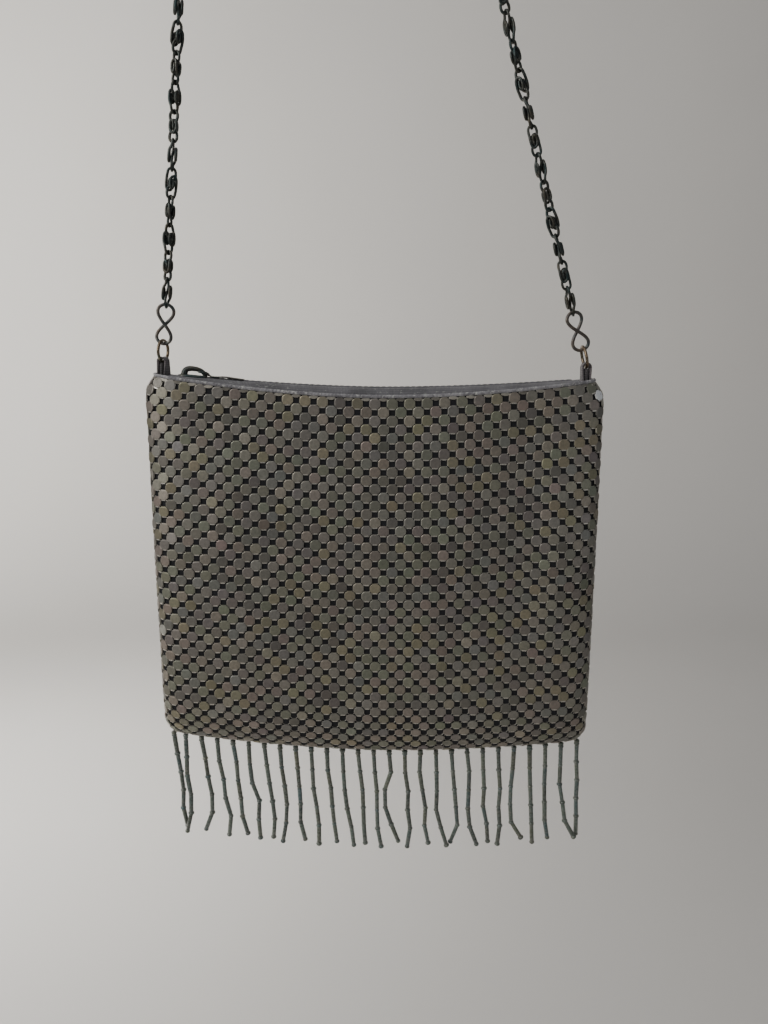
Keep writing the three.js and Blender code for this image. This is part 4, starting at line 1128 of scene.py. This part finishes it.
def ribbon_tab():
    """A folded ribbon: a flat section with round edges carried up one leg, over the fold and down.

    The half width goes from the full ribbon at the feet to the gathered fold inside the ring.
    """
    foot, thick = 1.55, 0.45
    ring, ring_wire, fold_half_width = 4.5, 0.65, 1.6
    tab_height, tab_thickness, gap = 8.2, 0.9, 0.3
    rise = ring - math.sqrt(ring ** 2 - fold_half_width ** 2)
    inner = ring_wire + gap + rise
    middle = tab_height - tab_thickness - inner
    radius = inner + thick
    climb = np.linspace(0, 1, 16)
    bend = np.linspace(math.pi, 0, 15)[1:-1]
    leg = foot + (radius - foot) * climb
    y = np.concatenate([-leg, radius * np.cos(bend), leg[::-1]])
    z = np.concatenate([middle * climb, middle + radius * np.sin(bend), (middle * climb)[::-1]])
    gather = np.concatenate([climb, np.ones(len(bend)), climb[::-1]])
    gather = gather * gather * (3 - 2 * gather)
    half = 3.0 + (2.0 - 3.0) * gather
    path = np.column_stack([np.zeros(len(y)), y, z])
    ahead, first, second = path_frames(path, np.array([1.0, 0.0, 0.0]))
    count = 28
    angle = 2 * math.pi * np.arange(count) / count
    c, s = np.cos(angle), np.sin(angle)
    flat_x = np.sign(c) * np.abs(c) ** 0.35
    pleat = 0.20 * np.cos(flat_x * 3 * math.pi)[None, :] * gather[:, None]
    points = (path[:, None] + first[:, None] * (half[:, None] * flat_x)[..., None]
              + second[:, None] * (0.42 * np.sign(s) * np.abs(s) ** 0.7 + pleat)[..., None])
    faces = section_faces(len(path), count)
    along = np.concatenate([[0], np.cumsum(np.linalg.norm(np.diff(path, axis=0), axis=1))])
    uv = np.stack(np.broadcast_arrays(along[:, None] * MM, flat_x * 3 * MM), -1).reshape(-1, 2)
    return points.reshape(-1, 3) * MM, faces, uv


def strap_route(settings, hardware):
    """The chain's centre line: straight up from the left eight, over the hook's arc, straight down.

    Returns a function from distance to points, and the whole length.
    """
    ends = []
    for corner in CORNERS:
        top = turn_about_y(np.array([[0, 0, EIGHT_HEIGHT / 2 - hardware.eight_wire]]), corner["eight_lean"] * DEGREE)
        ends.append((top + np.array(corner["eight"]) * MM)[0])
    arc = ARC_RADIUS
    middle = np.array([0, 0, -HOOK_RADIUS])
    touches = []
    for end, side in zip(ends, (-1, 1)):
        d = end - middle
        touches.append(math.atan2(d[2], d[0]) + side * math.acos(arc / math.hypot(d[0], d[2])))
    left, right = touches[0] + 2 * math.pi, touches[1]

    def on_arc(angle):
        angle = np.asarray(angle, float)
        return middle + arc * np.stack([np.cos(angle), np.zeros_like(angle), np.sin(angle)], -1)

    runs = [np.linalg.norm(ends[0] - on_arc(left)), arc * (left - right), np.linalg.norm(ends[1] - on_arc(right))]
    total = sum(runs)

    def at(distance):
        s = np.asarray(distance, float)[..., None]
        up = ends[0] + (on_arc(left) - ends[0]) * s / runs[0]
        over = on_arc(left - (s[..., 0] - runs[0]) / arc)
        down = on_arc(right) + (ends[1] - on_arc(right)) * (s - runs[0] - runs[1]) / runs[2]
        return np.where(s < runs[0], up, np.where(s < runs[0] + runs[1], over, down))

    return at, total


def scroll_link(settings, pitch):
    """One scroll link's wire as (across, through, along): two eyes and two flat curls, front and back.

    The wire starts inside the front curl, goes round its oval, up into the top eye, slants through the
    middle to the bottom eye, and ends in the back curl, the same half turned inside out.
    """
    w = settings.link_half_width - settings.link_wire
    deep = settings.link_half_depth - settings.link_wire
    top = pitch / 2 + settings.link_wire
    half = np.array([
        (-0.26 * w, 0.9 * deep, -1.1 * MM), (-0.28 * w, deep, 0.9 * MM), (0.05 * w, deep, 2.1 * MM),
        (0.50 * w, deep, 1.2 * MM), (0.55 * w, deep, -0.4 * MM), (0.38 * w, deep, -1.9 * MM),
        (-0.30 * w, deep, -2.75 * MM), (-0.86 * w, deep, -1.9 * MM), (-1.0 * w, 0.98 * deep, 0.0),
        (-0.98 * w, 0.80 * deep, 1.9 * MM), (-0.98 * w, 0.25 * deep, 3.5 * MM), (-0.78 * w, 0, top - 0.85 * MM),
        (0, 0, top), (0.78 * w, 0, top - 0.85 * MM), (0.98 * w, -0.05 * deep, 3.6 * MM),
        (0.80 * w, -0.10 * deep, 2.2 * MM), (0.34 * w, -0.06 * deep, 0.9 * MM),
    ])
    return smooth_path(np.vstack([half, [[0, 0, 0]], -half[::-1]]), 100)


class PURSE_OT_chain(bpy.types.Operator):
    """Build the chain strap link by link, each turned against the last"""

    bl_idname = "purse.chain"
    bl_label = "Chain strap"

    def execute(self, context):
        settings, hardware = context.scene.purse_chain, context.scene.purse_hardware
        at, total = strap_route(settings, hardware)
        count = round(total / settings.link_pitch)
        pitch = total / count
        local = scroll_link(settings, pitch)
        turn_step = round(settings.link_turn * (count - 1) / math.pi) * math.pi / (count - 1)
        random = np.random.default_rng(5)
        metal = dark_metal("chain_metal", hardware.gunmetal_colour, (0.20, 0.20, 0.18), 0.34)
        shape = Shape()
        for link in range(count):
            low, high = at([link * pitch, (link + 1) * pitch])
            ahead = unit(high - low)
            across = np.array([ahead[2], 0, -ahead[0]])
            turn = math.pi / 2 + link * turn_step + random.normal(0, 0.12) * (0 < link < count - 1)
            first = across * math.cos(turn) + np.array([0, 1, 0]) * math.sin(turn)
            second = np.cross(ahead, first)
            path = (low + high) / 2 + local[:, :1] * first + local[:, 1:2] * second + local[:, 2:] * ahead
            points, faces, uv = tube(path, settings.link_wire, 6, side=second)
            shape.add(points, faces, uv)
        nodes = ["chain_left_lower", "chain_left_upper", "chain_top", "chain_right_upper", "chain_right_lower"]
        shape.make("strap_chain", metal, nodes)
        return {"FINISHED"}


class PURSE_OT_fringe(bpy.types.Operator):
    """Build the strands of long and small glass beads under the bottom line"""

    bl_idname = "purse.fringe"
    bl_label = "Bead fringe"

    def execute(self, context):
        settings = context.scene.purse_fringe
        glass = bead_glass(settings)
        random = np.random.default_rng(3)
        for index, drifts in enumerate(STRAND_DRIFT):
            shape = Shape()
            x = STRAND_REACH - STRAND_SPACE * (len(STRAND_DRIFT) - 1 - index) if index else -STRAND_REACH
            sway = (1 if index % 2 == 0 else -1) * TIP_SWAY / len(drifts)
            edge = min(bottom_height(x + step) for step in (-0.7 * MM, 0, 0.7 * MM))
            top = np.array([x, 0, edge - 0.3 * MM]) + POUCH_MIDDLE
            knots = [top - np.array([0, 0, STRAND_TOP])]
            for drift in drifts * STRAND_SPACE:
                fall = math.sqrt(BUGLE_PITCH ** 2 - drift ** 2 - sway ** 2)
                knots.append(knots[-1] + np.array([drift, sway, -fall]))
            thread = np.vstack([top + [0, 0, 0.6 * MM], knots])
            points, faces, _ = tube(thread, 0.22 * MM, 5, side=(0, 1, 0))
            shape.add(points, faces, tint=(0.7, 0.65, 0.6, 0))
            ahead = unit(np.diff(np.vstack([top, knots]), axis=0))
            for low, high in zip(knots[:-1], knots[1:]):
                step = unit(high - low)
                long_bead(shape, settings, low + step * 0.72 * MM, high - step * 0.72 * MM, random)
            small_bead(shape, settings, top - [0, 0, 1.3 * MM], ahead[0], random)
            for knot, step in zip(knots, ahead):
                small_bead(shape, settings, knot, step, random)
            shape.make(f"bead_strand_{index + 1:02d}", glass, [f"fringe_strand_{index + 1:02d}"])
        return {"FINISHED"}


def long_bead(shape, settings, low, high, random):
    """A long bead: a six sided tube, slightly twisted, with rounded shoulders at both ends."""
    share = np.array([0, 0.015, 0.05, 0.5, 0.95, 0.985, 1.0])
    size = np.array([0.45, 0.82, 1.0, 1.0, 1.0, 0.82, 0.45]) * settings.bugle_radius * random.normal(1, 0.03)
    ahead = unit(high - low)
    first = unit(np.cross(ahead, [0.0, 1.0, 0.0]))
    second = np.cross(ahead, first)
    sides = 12
    angle = 2 * math.pi * np.arange(sides) / sides + random.uniform(0, math.pi) + 0.5 * share[:, None]
    facet = 1 + 0.035 * np.cos(6 * (angle - angle[:, :1]))
    around = np.cos(angle)[..., None] * first + np.sin(angle)[..., None] * second
    points = low + (high - low) * share[:, None, None] + (size[:, None] * facet)[..., None] * around
    shape.add(points, section_faces(len(share), sides), tint=bead_tint(random))


def small_bead(shape, settings, middle, ahead, random):
    """A small round bead: a ring shaped body, squashed along the thread, closed at its poles."""
    share = np.linspace(0, math.pi, 7)
    first = unit(np.cross(ahead, [0.0, 1.0, 0.0]))
    second = np.cross(ahead, first)
    sides = 12
    angle = 2 * math.pi * np.arange(sides) / sides
    around = np.cos(angle)[:, None] * first + np.sin(angle)[:, None] * second
    size = settings.seed_radius * random.normal(1, 0.07) * np.maximum(np.sin(share) ** 0.7, 0.18)
    lift = -settings.seed_height / 2 * np.cos(share)
    points = middle + lift[:, None, None] * ahead + size[:, None, None] * around
    shape.add(points, section_faces(len(share), sides), tint=bead_tint(random))


def bead_tint(random):
    """A bead's own shade: lighter or darker, more green or more brown."""
    cast = random.normal(0, 0.08)
    shade = random.normal(1, 0.16)
    return (shade * (1 + cast), shade, shade * (1 - cast), 0)


class PURSE_OT_stage(bpy.types.Operator):
    """Build the pale wall and floor, the soft lights and the camera"""

    bl_idname = "purse.stage"
    bl_label = "Stage"

    def execute(self, context):
        settings = context.scene.purse_stage
        scene = context.scene
        paint = studio_paint("wall_paint", settings.wall_colour)
        sweep = studio_sweep()
        mesh = bpy.data.meshes.new("studio_sweep")
        mesh.from_pydata(sweep.reshape(-1, 3).tolist(), [], grid_faces(*sweep.shape[:2]).tolist())
        mesh.polygons.foreach_set("use_smooth", np.ones(len(mesh.polygons), bool))
        mesh.materials.append(paint)
        floor = bpy.data.objects.new("studio_sweep", mesh)
        scene.collection.objects.link(floor)
        world = bpy.data.worlds.new("studio")
        world.use_nodes = True
        background = world.node_tree.nodes["Background"]
        background.inputs["Color"].default_value = WORLD_COLOUR
        background.inputs["Strength"].default_value = WORLD_STRENGTH
        scene.world = world
        for light in LIGHTS:
            add_light(*light)
        data = bpy.data.cameras.new("photo_camera")
        data.sensor_width = 36.0
        data.lens = data.sensor_width * settings.focal_share
        data.clip_start, data.clip_end = 0.01, 20.0
        camera = bpy.data.objects.new("photo_camera", data)
        camera.location = (0.0436, -settings.camera_distance, -settings.camera_height)
        camera.rotation_euler = (math.pi / 2 - settings.camera_pitch, 0, 0)
        scene.collection.objects.link(camera)
        scene.camera = camera
        return {"FINISHED"}


def studio_sweep():
    """A wall that curves into the floor: a profile in y and z carried along x."""
    bend = np.linspace(0, math.pi / 2, 13)
    back, low, radius = 1.5, -0.95, 0.5
    y = np.concatenate([[back], back - radius + radius * np.cos(bend), [-3.0]])
    z = np.concatenate([[2.2], low + radius - radius * np.sin(bend), [low]])
    x = np.linspace(-3.0, 3.0, 5)
    return np.stack(np.broadcast_arrays(x[None], y[:, None], z[:, None]), -1)


def add_light(name, place, aim, power, size, colour, spread_angle=180):
    """A soft rectangular light that faces a point, itself out of sight."""
    data = bpy.data.lights.new(name, "AREA")
    data.shape = "RECTANGLE"
    data.size, data.size_y = size
    data.energy = power
    data.color = colour
    data.spread = spread_angle * DEGREE
    light = bpy.data.objects.new(name, data)
    light.location = place
    light.rotation_mode = "QUATERNION"
    light.rotation_quaternion = (Vector(aim) - Vector(place)).to_track_quat("-Z", "Y")
    light.visible_camera = False
    bpy.context.scene.collection.objects.link(light)


# ---- panel and registration ------------------------------------------------------------------------

STEPS = ("mesh", "lining", "mouth", "slider", "corners", "chain", "fringe", "stage")


class PURSE_PT_panel(bpy.types.Panel):
    """Lists the purse's groups of pieces"""

    bl_idname = "PURSE_PT_panel"
    bl_label = "Metal Mesh Purse"
    bl_space_type = "VIEW_3D"
    bl_region_type = "UI"
    bl_category = "Purse"

    def draw(self, context):
        for step in STEPS:
            self.layout.operator(f"purse.{step}")


SETTINGS = {
    "purse_pouch": PursePouchSettings,
    "purse_mouth": PurseMouthSettings,
    "purse_hardware": PurseHardwareSettings,
    "purse_chain": PurseChainSettings,
    "purse_fringe": PurseFringeSettings,
    "purse_stage": PurseStageSettings,
}
CLASSES = (
    *SETTINGS.values(), PURSE_OT_lining, PURSE_OT_mesh, PURSE_OT_mouth, PURSE_OT_slider, PURSE_OT_corners,
    PURSE_OT_chain, PURSE_OT_fringe, PURSE_OT_stage, PURSE_PT_panel,
)


def register():
    for made in CLASSES:
        bpy.utils.register_class(made)
    for name, group in SETTINGS.items():
        setattr(bpy.types.Scene, name, bpy.props.PointerProperty(type=group))


def unregister():
    for name in SETTINGS:
        delattr(bpy.types.Scene, name)
    for made in reversed(CLASSES):
        bpy.utils.unregister_class(made)


def main():
    """Registers the add-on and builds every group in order."""
    register()
    for step in STEPS:
        getattr(bpy.ops.purse, step)()


if __name__ == "__main__":
    main()
